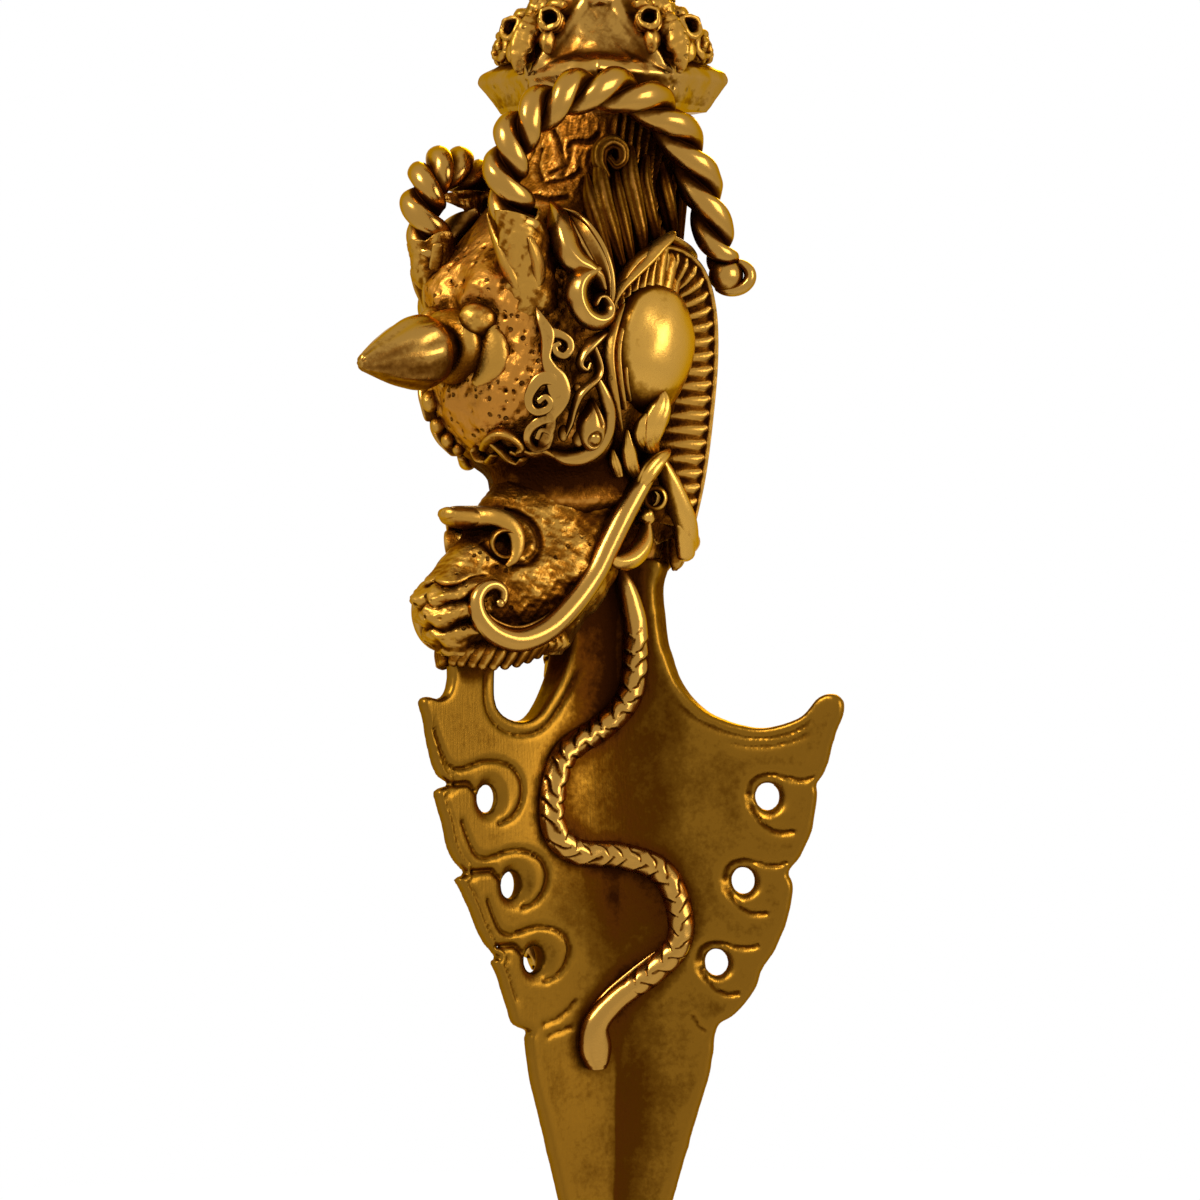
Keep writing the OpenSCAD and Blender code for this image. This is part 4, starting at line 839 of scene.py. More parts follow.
def make_snout():
    """Level by level, the tight belt round a small front circle and a big back one, lifted outwards."""
    rings, normals = [], []
    for drop, behind, r1, y2, r2 in smooth(SNOUT, 150):
        y1 = behind - SNOUT_REACH
        lean = math.asin((r2 - r1) / (y2 - y1))
        front = np.linspace(-(math.pi / 2 - lean), math.pi / 2 - lean, 64)
        back = np.linspace(math.pi / 2 - lean, 3 * math.pi / 2 + lean, 84)[1:-1]
        q = np.linspace(0, 1, 72)[1:-1, None]
        normal = lambda t: np.stack([np.sin(t), -np.cos(t)], -1)
        near = normal(front) * r1 + [0, y1]
        far = normal(back) * r2 + [0, y2]
        right = near[-1] + (normal(back[:1]) * r2 + [0, y2] - near[-1]) * q
        left = normal(back[-1:]) * r2 + [0, y2]
        left = left + (near[:1] - left) * q
        ring = np.vstack([near, right, far, left])
        rings.append(np.column_stack([ring, np.full(len(ring), Z_MOUTH + drop * SNOUT_DROP)]))
        facing = np.vstack([normal(front), np.repeat(normal(front[-1:]), 70, 0), normal(back),
                            np.repeat(normal(front[:1]), 70, 0)])
        normals.append(np.column_stack([facing, 0 * facing[:, 0]]))
    p, n = np.array(rings), np.array(normals)
    x, y, h = np.abs(p[..., 0]), p[..., 1], p[..., 2] - Z_MOUTH
    lift = 0.4 * waves(p, 7, 5, 2) + 0.12 * waves(p, 1.6, 6, 3)
    # The upper lip in front is drawn up into stacked folds, which run back to the lip strip's curl
    folds = eased((-27.0 - y) / 3) * eased((h + 13.8) / 2) * eased((-1.6 - h) / 2)
    fold = (h + 0.9 * np.sin(x * 0.7) + 0.5 * waves(p, 6, 12, 1)) / 3.1
    lift += folds * (1.6 * np.abs(np.sin(math.pi * fold)) ** 0.7 - 1.0 + 0.3 * waves(p, 2.4, 9, 2))
    # Gathers under the nose, a groove behind the nostril, and the hollow of the cheek
    lift -= 0.7 * bump(np.hypot(y + 23.8, h - 3.2) - 3.9, 0.5) * (x > 3) * eased((-17 - y) / 3)
    lift -= 1.2 * bump(np.hypot((y + 13) / 1.6, h - 6), 3.6)
    lift += 0.7 * bump(h + 1.5, 3.0) * eased((y + 27) / 4)
    lift -= 0.8 * bump(np.hypot(y + 26.6, (h + 1.4) * 1.4), 1.5)
    rough = eased((4.5 - h) / 4)
    patina_and_shade = 0.04 - 0.2 * folds + 0.16 * eased((h - 4) / 5) * eased((-19 - y) / 6)
    make("snout_body", skin(p + n * lift[..., None]), ["snout"], cast, patina_and_shade, rough * 0.8)


def beside_snout(side, rows):
    """Places beside the snout, on one side of the head, from columns x, y and height over the palate."""
    return by_snout(side * rows[:, 0], rows[:, 1], rows[:, 2])


def on_view(px, py, near):
    """The place that shows at a pixel of the photograph and lies so many mm before the dagger's axis."""
    c, s = cos_sin(AZIMUTH)
    k = LENS / SENSOR * FRAME_PX / (DISTANCE - near)
    aside = (np.asarray(px) - AXIS_PX) / k
    height = TARGET_Z + (FRAME_PX / 2 - np.asarray(py)) / k
    return np.stack([c * aside + s * near, s * aside - c * near, height], -1)


def by_snout(x, y, h):
    """A place beside the snout: x, y, and height over the palate."""
    return np.stack(np.broadcast_arrays(x, y, Z_MOUTH + h), -1)


# Lip strip: x, y, height over the palate, thickness as a share of the strip's
LIP = [
    (13.6, -2.4, 14.6, 0.6), (13.0, -5.0, 11, 0.85), (12.3, -7.9, 6.5, 0.95), (11.7, -10.4, 2, 0.95),
    (11.2, -13.0, -2.5, 0.9), (10.5, -16.6, -6.8, 0.92), (9.6, -20.6, -10.2, 0.95), (8.4, -25, -11.8, 0.95),
    (7.3, -28.6, -10.9, 0.85), (6.5, -30.9, -8.6, 0.74), (6.2, -31.4, -6.0, 0.62), (6.5, -30.3, -4.2, 0.52),
    (7.0, -28.7, -3.7, 0.46), (7.4, -27.4, -4.5, 0.42), (7.5, -27.4, -5.9, 0.38), (7.5, -28.2, -6.4, 0.36)]


def make_lips():
    """A bevelled strip along each lip that ends in a volute with a ball in its eye."""
    r = smooth(LIP, 260)
    path = by_snout(*r[:, :3].T)
    half = r[:, 3] * LIP_T * 0.57
    strip = rod(path, (1, -0.35, 0.1), half, half * 1.02, bevelled, 28)
    ball = egg(path[-1] + [0.2, 0, 0], (0.75, 0.75, 0.75), n=16)
    # A thin fillet runs beside the strip, where the lip was cut in with a graver
    beside = path[20:150] + [0.1, 0.4, 1.9]
    fillet = rod(beside - [0.5, 0, 0], (1, -0.35, 0.1), 0.32, 0.3)
    both_sides("lip", join([strip, ball, fillet]), "lip_strip", burnished)


def make_nose():
    """A ledge over the nostrils that turns down round each, and a tube for each nostril."""
    rows = smooth([(-21.4, 6.2, 3.0, 1.0), (-24.4, 6.2, 4.2, 1.5), (-27.8, 6.1, 4.0, 1.6),
                   (-30.2, 6.3, 2.9, 1.4), (-31.5, 6.7, 1.9, 0.9)], 60)
    ledge = rod(by_snout(0, rows[:, 0], rows[:, 1]), (0, 0, 1.0), rows[:, 2], rows[:, 3], bevelled, 40)
    wings = []
    for side in (1, -1):
        r = smooth([(2.2, -28.0, 6.2, 1.5), (4.6, -26.4, 6.2, 1.45), (6.0, -25.0, 5.3, 1.4),
                    (6.9, -24.2, 3.6, 1.2), (7.1, -24.2, 1.6, 1.0), (7.0, -24.8, 0.1, 0.7),
                    (6.6, -25.7, -0.9, 0.35)], 70)
        wings.append(rod(beside_snout(side, r), (side, -0.6, 0.5), r[:, 3], r[:, 3] * 0.8))
    make("nose_ledge", join([ledge] + wings), ["nose_visor"], cast)
    c, s = cos_sin(52)
    tilt = np.array([s, -c, -0.12])
    tilt /= np.linalg.norm(tilt)
    # The tube's wall turns over a round rim and goes back down inside
    profile = [(2.5, -2.2), (2.4, 0.2), (2.25, 0.8), (2.05, 1.1), (1.85, 1.05), (1.65, 0.8), (1.55, 0.3),
               (1.45, -1.6), (0.9, -2.6)]
    tube = stood(lathe(smooth(profile, 40), 48), by_snout(5.7, -25.2, 2.3), tilt)
    both_sides("nostril_tube", tube, "nostril", cast)


# Eye: a drop under the brow, sunk in lids, with a ringed pupil low in it; pixels, and radii in mm
EYE_PX = (591, 424)
EYE_CORNERS = (((578, 437), (1.0, 1.0, 1.5)), ((563, 433), (0.8, 0.8, 1.3)), ((577, 388), (0.7, 0.7, 0.8)))


def make_eyes():
    """A drop-shaped ball: an egg drawn up to a point, a groove round its front, a disc for the pupil."""
    share, around = skull_place([EYE_PX], 0.9)[0]
    here, out = on_skull(share, around, 0.9), skull_out(share, around)
    across = np.cross([0, 0, 1.0], out)

    def drop(ball):
        narrow = 1 - 0.6 * eased((ball[..., 2] + 0.1) / 1.1)
        return ball * np.stack([np.ones_like(narrow), narrow, np.ones_like(narrow)], -1)
    points, faces = egg((0, 0, 0), (2.1, 2.2, 3.9), n=46, shape=drop)
    pupil = np.hypot(points[:, 1] - 0.1, points[:, 2] + 2.3)
    front = points[:, 0] > 0
    points[:, 0] += front * (0.28 * bump(pupil - 0.25, 0.5) - 0.4 * bump(pupil - 1.0, 0.22))
    line = bump(points[:, 1] + 0.35 * points[:, 2] - 0.9, 0.25)
    points[:, 0] -= front * 0.4 * line * eased(points[:, 2] + 1)
    ball = points[:, :1] * out + points[:, 1:2] * across + points[:, 2:] * [0, 0, 1.0] + here
    corners = [egg(on_skull(*skull_place([pixel], 0.8)[0], 0.8), radii, n=24) for pixel, radii in EYE_CORNERS]
    both_sides("eyeball", join([(ball, faces)] + corners), "eye", burnished)


# Scrollwork of the brow, read off the photograph: pixel x, pixel y, lift, half width and half height in mm
BROW = [
    (537, 309, 0.5, 0.2, 0.5), (541, 320, 0.9, 0.73, 1.0), (547, 333, 1.0, 1.13, 1.2),
    (547, 346, 1.0, 0.92, 1.2), (546, 358, 1.0, 0.78, 1.2), (550, 369, 1.0, 1.1, 1.2),
    (556, 380, 1.0, 1.7, 1.2), (559, 393, 1.0, 1.75, 1.2), (556, 405, 1.0, 1.36, 1.2),
    (551, 416, 0.9, 0.88, 1.1), (550, 427, 0.8, 0.82, 1.0), (545, 439, 0.8, 0.9, 1.0),
    (540, 448, 0.5, 0.3, 0.6)]
BROW_HOOKS = [
    [(550, 333, 1.0, 0.9, 1.1), (560, 335, 1.1, 0.72, 1.1), (568, 341, 1.1, 0.65, 1.1),
     (569, 350, 1.1, 0.6, 1.1), (563, 356, 1.1, 0.58, 1.1), (556, 353, 1.1, 0.55, 1.0),
     (554, 347, 1.1, 0.5, 1.0), (558, 344, 1.1, 0.45, 1.0)],
    [(559, 383, 1.0, 1.2, 1.1), (549, 378, 1.1, 1.1, 1.2), (539, 380, 1.1, 1.0, 1.2),
     (532, 389, 1.1, 0.85, 1.2), (529, 399, 1.1, 0.7, 1.1), (531, 408, 1.1, 0.65, 1.1),
     (538, 412, 1.1, 0.65, 1.1), (547, 409, 1.1, 0.6, 1.1), (550, 402, 1.1, 0.55, 1.1),
     (545, 397, 1.1, 0.5, 1.1), (539, 401, 1.1, 0.5, 1.1)],
    [(552, 418, 0.9, 0.75, 1.0), (542, 420, 1.0, 0.75, 1.0), (533, 426, 1.0, 0.7, 1.0),
     (528, 435, 1.0, 0.62, 1.0), (530, 444, 1.0, 0.58, 0.9), (537, 449, 1.0, 0.6, 0.9),
     (547, 445, 1.0, 0.6, 0.9), (550, 434, 1.0, 0.5, 0.9), (542, 430, 1.0, 0.45, 0.9),
     (538, 436, 1.0, 0.45, 0.9)]]
LIDS = [
    [(607, 331, 0.6, 0.3, 0.7), (600, 337, 1.1, 0.8, 1.1), (591, 346, 1.2, 1.0, 1.2),
     (583, 355, 1.2, 0.8, 1.1), (580, 365, 1.2, 0.62, 1.0), (585, 370, 1.2, 0.52, 1.0),
     (588, 364, 1.2, 0.45, 1.0)],
    [(592, 347, 1.0, 0.7, 1.1), (597, 359, 1.3, 0.58, 1.1), (599, 370, 1.5, 0.55, 1.1),
     (596, 379, 1.6, 0.6, 1.1), (586, 388, 1.6, 0.7, 1.1), (579, 396, 1.5, 0.72, 1.1),
     (574, 408, 1.2, 0.6, 1.0), (570, 423, 0.9, 0.55, 1.0), (565, 437, 0.6, 0.4, 0.7)]]
FULL_LID = [
    (598, 381, 1.2, 0.6, 0.8), (605, 397, 1.3, 0.95, 1.0), (609, 415, 1.2, 1.05, 1.1),
    (606, 433, 1.3, 1.1, 1.2), (597, 447, 1.5, 1.25, 1.3), (583, 456, 1.6, 1.35, 1.4),
    (566, 458, 1.4, 1.15, 1.2), (552, 453, 0.8, 0.7, 0.9)]
# Curled hairs over the root of the snout, in the same columns
ROOT_CURLS = [
    [(484, 448, 0.6, 0.5, 0.7), (491, 438, 0.9, 0.8, 1.0), (501, 434, 1.1, 0.85, 1.1),
     (513, 438, 1.2, 0.8, 1.1), (522, 446, 1.2, 0.72, 1.1), (519, 453, 1.2, 0.6, 1.0),
     (512, 452, 1.2, 0.5, 1.0)],
    [(492, 443, 0.8, 0.5, 0.8), (501, 450, 1.0, 0.7, 1.0), (511, 459, 1.1, 0.7, 1.0),
     (519, 463, 1.1, 0.6, 1.0), (524, 458, 1.1, 0.5, 0.9)],
    [(522, 449, 0.8, 0.6, 0.9), (532, 453, 1.0, 0.75, 1.0), (543, 451, 1.0, 0.7, 1.0),
     (552, 455, 0.9, 0.55, 0.9)],
    [(474, 449, 0.5, 0.4, 0.7), (480, 457, 0.8, 0.6, 0.9), (489, 461, 0.8, 0.6, 0.9),
     (495, 455, 0.8, 0.45, 0.8)]]
BEADS = [(433, 401, 1.5), (440, 425, 1.25), (450, 440, 1.1), (461, 449, 0.95)]


def make_brows():
    """Flat-topped strips that end in hooks: the flaming brow, and the lids that meet over the eye."""
    shells = [skull_strip(BROW, 160, slab, 28)]
    shells += [skull_strip(hook, 90, slab, 28) for hook in BROW_HOOKS]
    shells += [skull_strip(line, 90, ridged, 24) for line in LIDS]
    shells.append(skull_strip(FULL_LID, 110, None, 24))
    both_sides("brow_flames", join(shells), "brow_scroll", burnished)
    # Curled hairs in a row over the root of the snout, and beads down the far brow
    curls = [skull_strip(rows, 70, ridged, 20) for rows in ROOT_CURLS]
    for k, (px, py, r) in enumerate(BEADS):
        share, around = skull_place([(px, py)])[0]
        curls.append(egg(on_skull(share, around - 4, 0.55), (r, r, r * (1.1 - 0.1 * (k % 2))), n=24))
    make("brow_bead_string", join(curls), ["brow_beads"], cast)


make_skull()
make_snout()
make_lips()
make_nose()
make_eyes()
make_brows()


def plate(first, second, thick, relief, n=90, m=34):
    """A thin leaf between two lines of pixels on the skull: share, angle and lift are mixed across it,
    relief(along, across) is added in mm, and a second face thick below closes it."""
    lines = []
    for rows in (first, second):
        rows = np.array(rows, float)
        lines.append(smooth(np.column_stack([skull_place(rows[:, :2], rows[:, 2]), rows[:, 2]]), n)[:, None])
    s, t = np.linspace(0, 1, n)[:, None], np.linspace(0, 1, m)[None]
    mixed = lines[0] * (1 - t[..., None]) + lines[1] * t[..., None]
    rise = relief(s, t) + 0 * s * t
    top = on_skull(mixed[..., 0], mixed[..., 1], mixed[..., 2] + rise)
    low = on_skull(mixed[..., 0], mixed[..., 1], mixed[..., 2] + np.minimum(rise, 0) - thick)
    return skin(np.concatenate([top, low[:, ::-1]], 1)[:, ::-1])


# Ear, read off the photograph: the fore edge rolls over and curls up below, a thin leaf stands behind
EAR_ROLL = [
    (553, 206, 0.8, 0.4, 0.8), (556, 213, 1.8, 1.0, 1.5), (559, 223, 2.5, 1.42, 1.9),
    (562, 237, 2.9, 1.65, 2.1), (567, 251, 3.0, 1.55, 2.0), (576, 262, 2.8, 1.35, 1.8),
    (587, 268, 2.6, 1.15, 1.6), (597, 276, 2.3, 0.85, 1.4), (602, 288, 2.0, 0.5, 1.1)]
EAR_CURL = [
    (593, 271, 2.4, 0.9, 1.5), (582, 278, 2.5, 1.25, 1.9), (577, 290, 2.5, 1.35, 2.0),
    (579, 304, 2.4, 1.3, 1.9), (586, 316, 2.2, 1.25, 1.7), (597, 321, 2.1, 1.15, 1.6),
    (606, 317, 2.0, 0.95, 1.5), (608, 307, 1.9, 0.75, 1.4), (603, 298, 1.9, 0.62, 1.3),
    (597, 298, 1.9, 0.5, 1.2), (594, 304, 1.9, 0.5, 1.1)]
EAR_RIM = [
    (566, 210, 1.2, 0.4, 0.7), (577, 215, 2.2, 0.65, 0.8), (587, 224, 3.0, 0.68, 0.9),
    (597, 238, 3.4, 0.68, 0.9), (605, 255, 3.4, 0.68, 0.9), (610, 274, 3.1, 0.66, 0.9),
    (611, 293, 2.5, 0.62, 0.9), (608, 309, 1.8, 0.5, 0.8)]


def make_ears():
    """Roll, curl and rim are rods on the skull; a dished, creased leaf fills the space between them."""
    inner = [(x + 3, y, lift + 0.3) for x, y, lift, _, _ in EAR_ROLL]
    outer = [(x, y, lift + 0.6) for x, y, lift, _, _ in EAR_RIM]
    hollow = lambda s, t: -0.75 * np.sin(math.pi * t) + 0.5 * bump(t - 0.42 - 0.2 * s, 0.09)
    leaf = plate(inner, outer, 2.4, hollow)
    ear = join([skull_strip(EAR_ROLL, 120, ridged, 32, 1.3), skull_strip(EAR_CURL, 140, ridged, 32, 1.25),
                skull_strip(EAR_RIM, 120, None, 20, 0.8), leaf])
    both_sides("ear_leaf", ear, "ear", burnished, -0.34)


# Flame tufts below the jaw muscle, in the same columns
TUFTS = [
    [(651, 452, 1.0, 0.8, 1.0), (649, 440, 2.0, 1.5, 1.4), (653, 425, 2.9, 2.3, 1.7),
     (659, 410, 3.2, 2.0, 1.6), (661, 399, 3.2, 1.2, 1.2), (660, 389, 3.0, 0.2, 0.5)],
    [(645, 448, 1.0, 0.6, 0.8), (639, 438, 2.0, 0.9, 1.1), (640, 425, 2.6, 0.7, 1.0),
     (645, 414, 2.7, 0.15, 0.4)],
    [(634, 474, 0.8, 0.7, 0.9), (630, 463, 1.6, 1.2, 1.2), (628, 450, 1.9, 1.1, 1.1),
     (627, 440, 1.7, 0.6, 0.8), (626, 430, 1.4, 0.15, 0.4)],
    [(640, 484, 1.2, 1.0, 1.1), (646, 474, 2.0, 1.6, 1.4), (655, 463, 2.4, 1.5, 1.3),
     (663, 455, 2.4, 0.8, 1.0), (668, 449, 2.2, 0.15, 0.4)],
    [(618, 474, 0.6, 0.6, 0.8), (615, 462, 1.1, 0.8, 0.9), (612, 450, 1.0, 0.15, 0.4)]]


def make_cheeks():
    """The jaw muscle is a smooth egg; flame-shaped tufts stand below it."""
    where = on_skull(0.46, 105, 0.0)
    muscle = egg(where, (6.0, 8.3, 9.8), (0, 8, 16), 56,
                 lambda b: b * (1 + 0.05 * waves(b, 1.4, 4, 2)[..., None]))
    cheek = join([muscle] + [skull_strip(rows, 56, feathered, 32) for rows in TUFTS])
    dome = muscle[0]
    # The dome's lower part is painted darker as shade, and soft blotches over it stand in for painted
    # reflections; the tufts are lighter
    worn = 0.22 * waves(dome, 9, 46, 2) + 0.3 * eased((Z_MOUTH + 0.4 * HEAD_LEN - dome[:, 2]) / 8)
    worn = np.append(worn, np.full(len(cheek[0]) - len(dome), -0.12))
    both_sides("cheek_muscle", cheek, "cheek", polished, worn)


# Frill: x, y, height share and how full its band is; it rises before the cheek and falls behind it
FRILL = [
    (15.2, -12.6, 0.3, 0.3), (15.7, -13, 0.42, 0.6), (16, -12.2, 0.55, 0.8), (16.3, -8.8, 0.625, 0.95),
    (16, -3.2, 0.66, 1), (15.1, 3.2, 0.635, 1), (14.4, 6.4, 0.56, 1), (14.0, 7.2, 0.45, 1),
    (13.6, 6.6, 0.31, 0.95), (13.2, 5.6, 0.18, 0.85), (12.8, 4.4, 0.07, 0.6)]
# Fan of gill ribs: its lower line on the cheek and its upper crest, pixel x, pixel y, lift in mm
FAN_ROOTS = [
    (617, 314, 1.2), (625, 300, 2.0), (637, 290, 2.6), (651, 287, 2.9), (666, 291, 2.8), (678, 299, 2.4),
    (688, 310, 1.8)]
FAN_CREST = [
    (611, 296, 0.8), (624, 281, 1.6), (641, 266, 2.6), (656, 252, 3.4), (669, 237, 4.0), (686, 248, 3.8),
    (700, 262, 3.0), (706, 276, 2.4)]
# Wires along the fan's fore edge and its top, in the columns of the brow, and folds before the cheek
FAN_RIDGE = [
    (611, 306, 0.8, 0.5, 0.8), (617, 293, 1.4, 0.7, 1.0), (631, 277, 2.2, 0.75, 1.1),
    (646, 262, 3.0, 0.8, 1.1), (658, 248, 3.8, 0.85, 1.2), (668, 238, 4.1, 0.7, 1.1),
    (672, 232, 4.0, 0.2, 0.5)]
FAN_RIM = [
    (670, 238, 3.9, 0.6, 0.9), (686, 249, 3.8, 0.7, 1.0), (699, 262, 3.2, 0.7, 1.0),
    (706, 277, 2.5, 0.5, 0.8)]
FOLDS = [
    [(621, 305, 1.0, 0.3, 0.7), (613, 328, 1.7, 0.75, 1.1), (609, 352, 1.8, 0.78, 1.1),
     (611, 380, 1.7, 0.7, 1.1), (616, 408, 1.2, 0.5, 0.8), (620, 430, 0.7, 0.2, 0.5)],
    [(626, 311, 0.9, 0.3, 0.7), (619, 332, 1.5, 0.62, 1.0), (616, 354, 1.6, 0.65, 1.0),
     (618, 382, 1.5, 0.6, 1.0), (623, 408, 1.0, 0.3, 0.6)],
    [(631, 318, 0.9, 0.3, 0.7), (625, 338, 1.4, 0.5, 0.9), (623, 358, 1.5, 0.5, 0.9),
     (624, 382, 1.4, 0.45, 0.9), (628, 400, 1.0, 0.2, 0.5)]]


def make_frills():
    """A strap round the cheek, ribbed across every 2 mm inside a raised rim, and a fan of gill ribs."""
    r = smooth(FRILL, 240)
    path = np.column_stack([r[:, 0], r[:, 1], Z_MOUTH + r[:, 2] * HEAD_LEN])
    gone = distance_gone(path)
    up, across = frames(path, [1, -0.1, 0])
    a = circle(48)[None]
    flat, high = np.sign(np.cos(a)) * np.abs(np.cos(a)) ** 0.7, np.sin(a)
    rib = np.abs(np.sin(math.pi * gone[:, None] / 2.2 + 1.3 * flat)) ** 2
    face = (flat < 0.55) * (high > 0)
    full = r[:, 3:4]
    # The strap's inner edge runs on under the cheek as a web that leans back to the skull
    web = np.clip(-flat, 0, 1)
    tall = np.where(face, 0.3 + 0.7 * rib, 1.15 + 0.6 * (flat > 0.55) * (high > 0)) * full
    inward = 4.8 + 3.0 * eased((gone[:, None] - 22) / 16)
    aside = np.where(flat > 0, 2.2 * flat, inward * flat) * full
    band = skin(swept(path, up, across, aside, high * tall - (inward - 2.6) * web**1.5 * full))
    patina_and_shade = (0.34 - 0.34 * rib) * face * eased(gone[:, None] / 20 - 0.3) - 0.12 * (flat > 0.55)

    def ribbed(s, t):
        rib = np.abs(np.sin(math.pi * (10.5 * s + 0.5 * t))) ** 0.6
        return (1.2 * rib - 1.1) * eased((1.02 - t) / 0.12)
    fan = plate(FAN_ROOTS, FAN_CREST, 2.2, ribbed, 220, 24)
    crest, rim = skull_strip(FAN_RIDGE, 120, ridged), skull_strip(FAN_RIM, 90, ridged)
    pieces = [fan, crest, rim] + [skull_strip(rows, 80, ridged) for rows in FOLDS]
    both_sides("gill_fan", join(pieces), "frill", cast, -0.5)
    both_sides("gill_strap", band, "frill", cast, patina_and_shade)


# Horns: x, y, height share of the line that each rope follows; the left one hangs lower
HORN_RIGHT = [
    (9.9, -26.8, 0.745), (10.1, -28.8, 0.82), (10.6, -27.8, 0.9), (12.2, -24.4, 0.965), (14.3, -19, 1.01),
    (15.9, -12, 1.02), (16.2, -4, 0.985), (15.6, 2.2, 0.905), (15.7, 5.8, 0.8), (16.1, 8.2, 0.69),
    (16.4, 9.8, 0.645)]
HORN_LEFT = [
    (9.3, -26, 0.69), (9.5, -27.6, 0.775), (10.2, -25.6, 0.845), (12, -20.1, 0.875), (14.8, -13.6, 0.86),
    (17, -6.6, 0.82), (17.9, -0.6, 0.76), (18, 4, 0.69), (17.8, 7.4, 0.62), (17.6, 10.0, 0.585)]


def make_horn(name, rows, side):
    """Two round strands laid left-hand about a line: the section is the outline of two ellipses."""
    r = smooth(rows, 350)
    path = np.column_stack([side * r[:, 0], r[:, 1], Z_MOUTH + r[:, 2] * HEAD_LEN])
    way = unit(path[:1] - path[8:9])
    # A tenon's length of rope goes down into the leaf cup
    foot = path[:1] + way * np.linspace(4, 0.1, 30)[:, None]
    path = np.vstack([foot, path])
    up, across = frames(path, carried(path, (1, 0, 0)))
    t = np.linspace(0, 1, len(path))[:, None]
    half = HORN_D / 2 * (1 - 0.3 * eased((t - 0.8) / 0.2)) * (1 - 0.55 * eased((t - 0.985) / 0.015) ** 2)
    b = circle(48)[None]
    # Each strand is an ellipse with its middle at 0.46 of the radius and half axes of 0.55 and 0.67
    c, p, q = 0.46, 0.55, 0.67
    cb, sb = np.abs(np.cos(b)), np.sin(b)
    k2, k1 = cb**2 / p**2 + sb**2 / q**2, -2 * c * cb / p**2
    reach = (-k1 + np.sqrt(np.maximum(k1**2 - 4 * k2 * (c**2 / p**2 - 1), 0))) / (2 * k2)
    turn = b - 2 * math.pi * HORN_TURNS * t * 1.03
    wear = 1 + 0.02 * waves(path, 5, 8, 2)[:, None]
    rings = swept(path, up, across, half * wear * reach * np.cos(turn), half * wear * reach * np.sin(turn))
    # The tip is beaten out into a round bead, and a lip like half a ring stands round its far side
    tip, away = path[-1], unit(np.array([0.68 * side, 0.73, 0.0]))
    bead = egg(tip - away * 0.2 - [0, 0, 1.0], (2.5, 2.8, 2.5), (0, 0, 12 * side), 40)
    # Hands wear the strands' crests bright and leave the grooves between them brown; the darkening down each
    # strand's flanks is also painted shade
    worn = np.clip((reach - reach.min()) / np.ptp(reach), 0, 1)
    patina_and_shade = (1.1 * (1 - worn) ** 0.8 - 0.16 + 0.14 * waves(path, 4, 45, 2)[:, None]).ravel()
    q = np.linspace(-125, 62, 60)
    turn = np.stack([np.cos(np.radians(q)), np.sin(np.radians(q))], -1)
    ring = tip + away * 0.4 - [0, 0, 1.1] + away * 3.0 * turn[:, :1] + np.array([0, 0, 2.2]) * turn[:, 1:]
    wide = 0.95 - 0.35 * np.abs(np.linspace(-1, 1, 60)) ** 3
    lip = rod(ring, np.cross(away, [0, 0, 1.0]), wide, wide * 1.5, sides=24)
    make(name + "_rope", join([skin(rings), bead, lip]), [name], burnished, patina_and_shade)


# Soft ridges that run from the right cup's rim down onto the brow
FLAMES = [
    [(490, 215, 7.2, 0.5, 0.8), (496, 232, 4.9, 1.0, 1.1), (503, 250, 3.3, 1.3, 1.3),
     (510, 268, 1.8, 1.4, 1.3), (517, 285, 0.4, 1.3, 1.1), (524, 300, -0.7, 0.6, 0.6)],
    [(529, 238, 6.6, 0.5, 0.8), (534, 252, 4.6, 1.0, 1.1), (537, 266, 2.6, 1.2, 1.2),
     (538, 282, 0.8, 1.1, 1.0), (537, 297, -0.7, 0.6, 0.6)]]


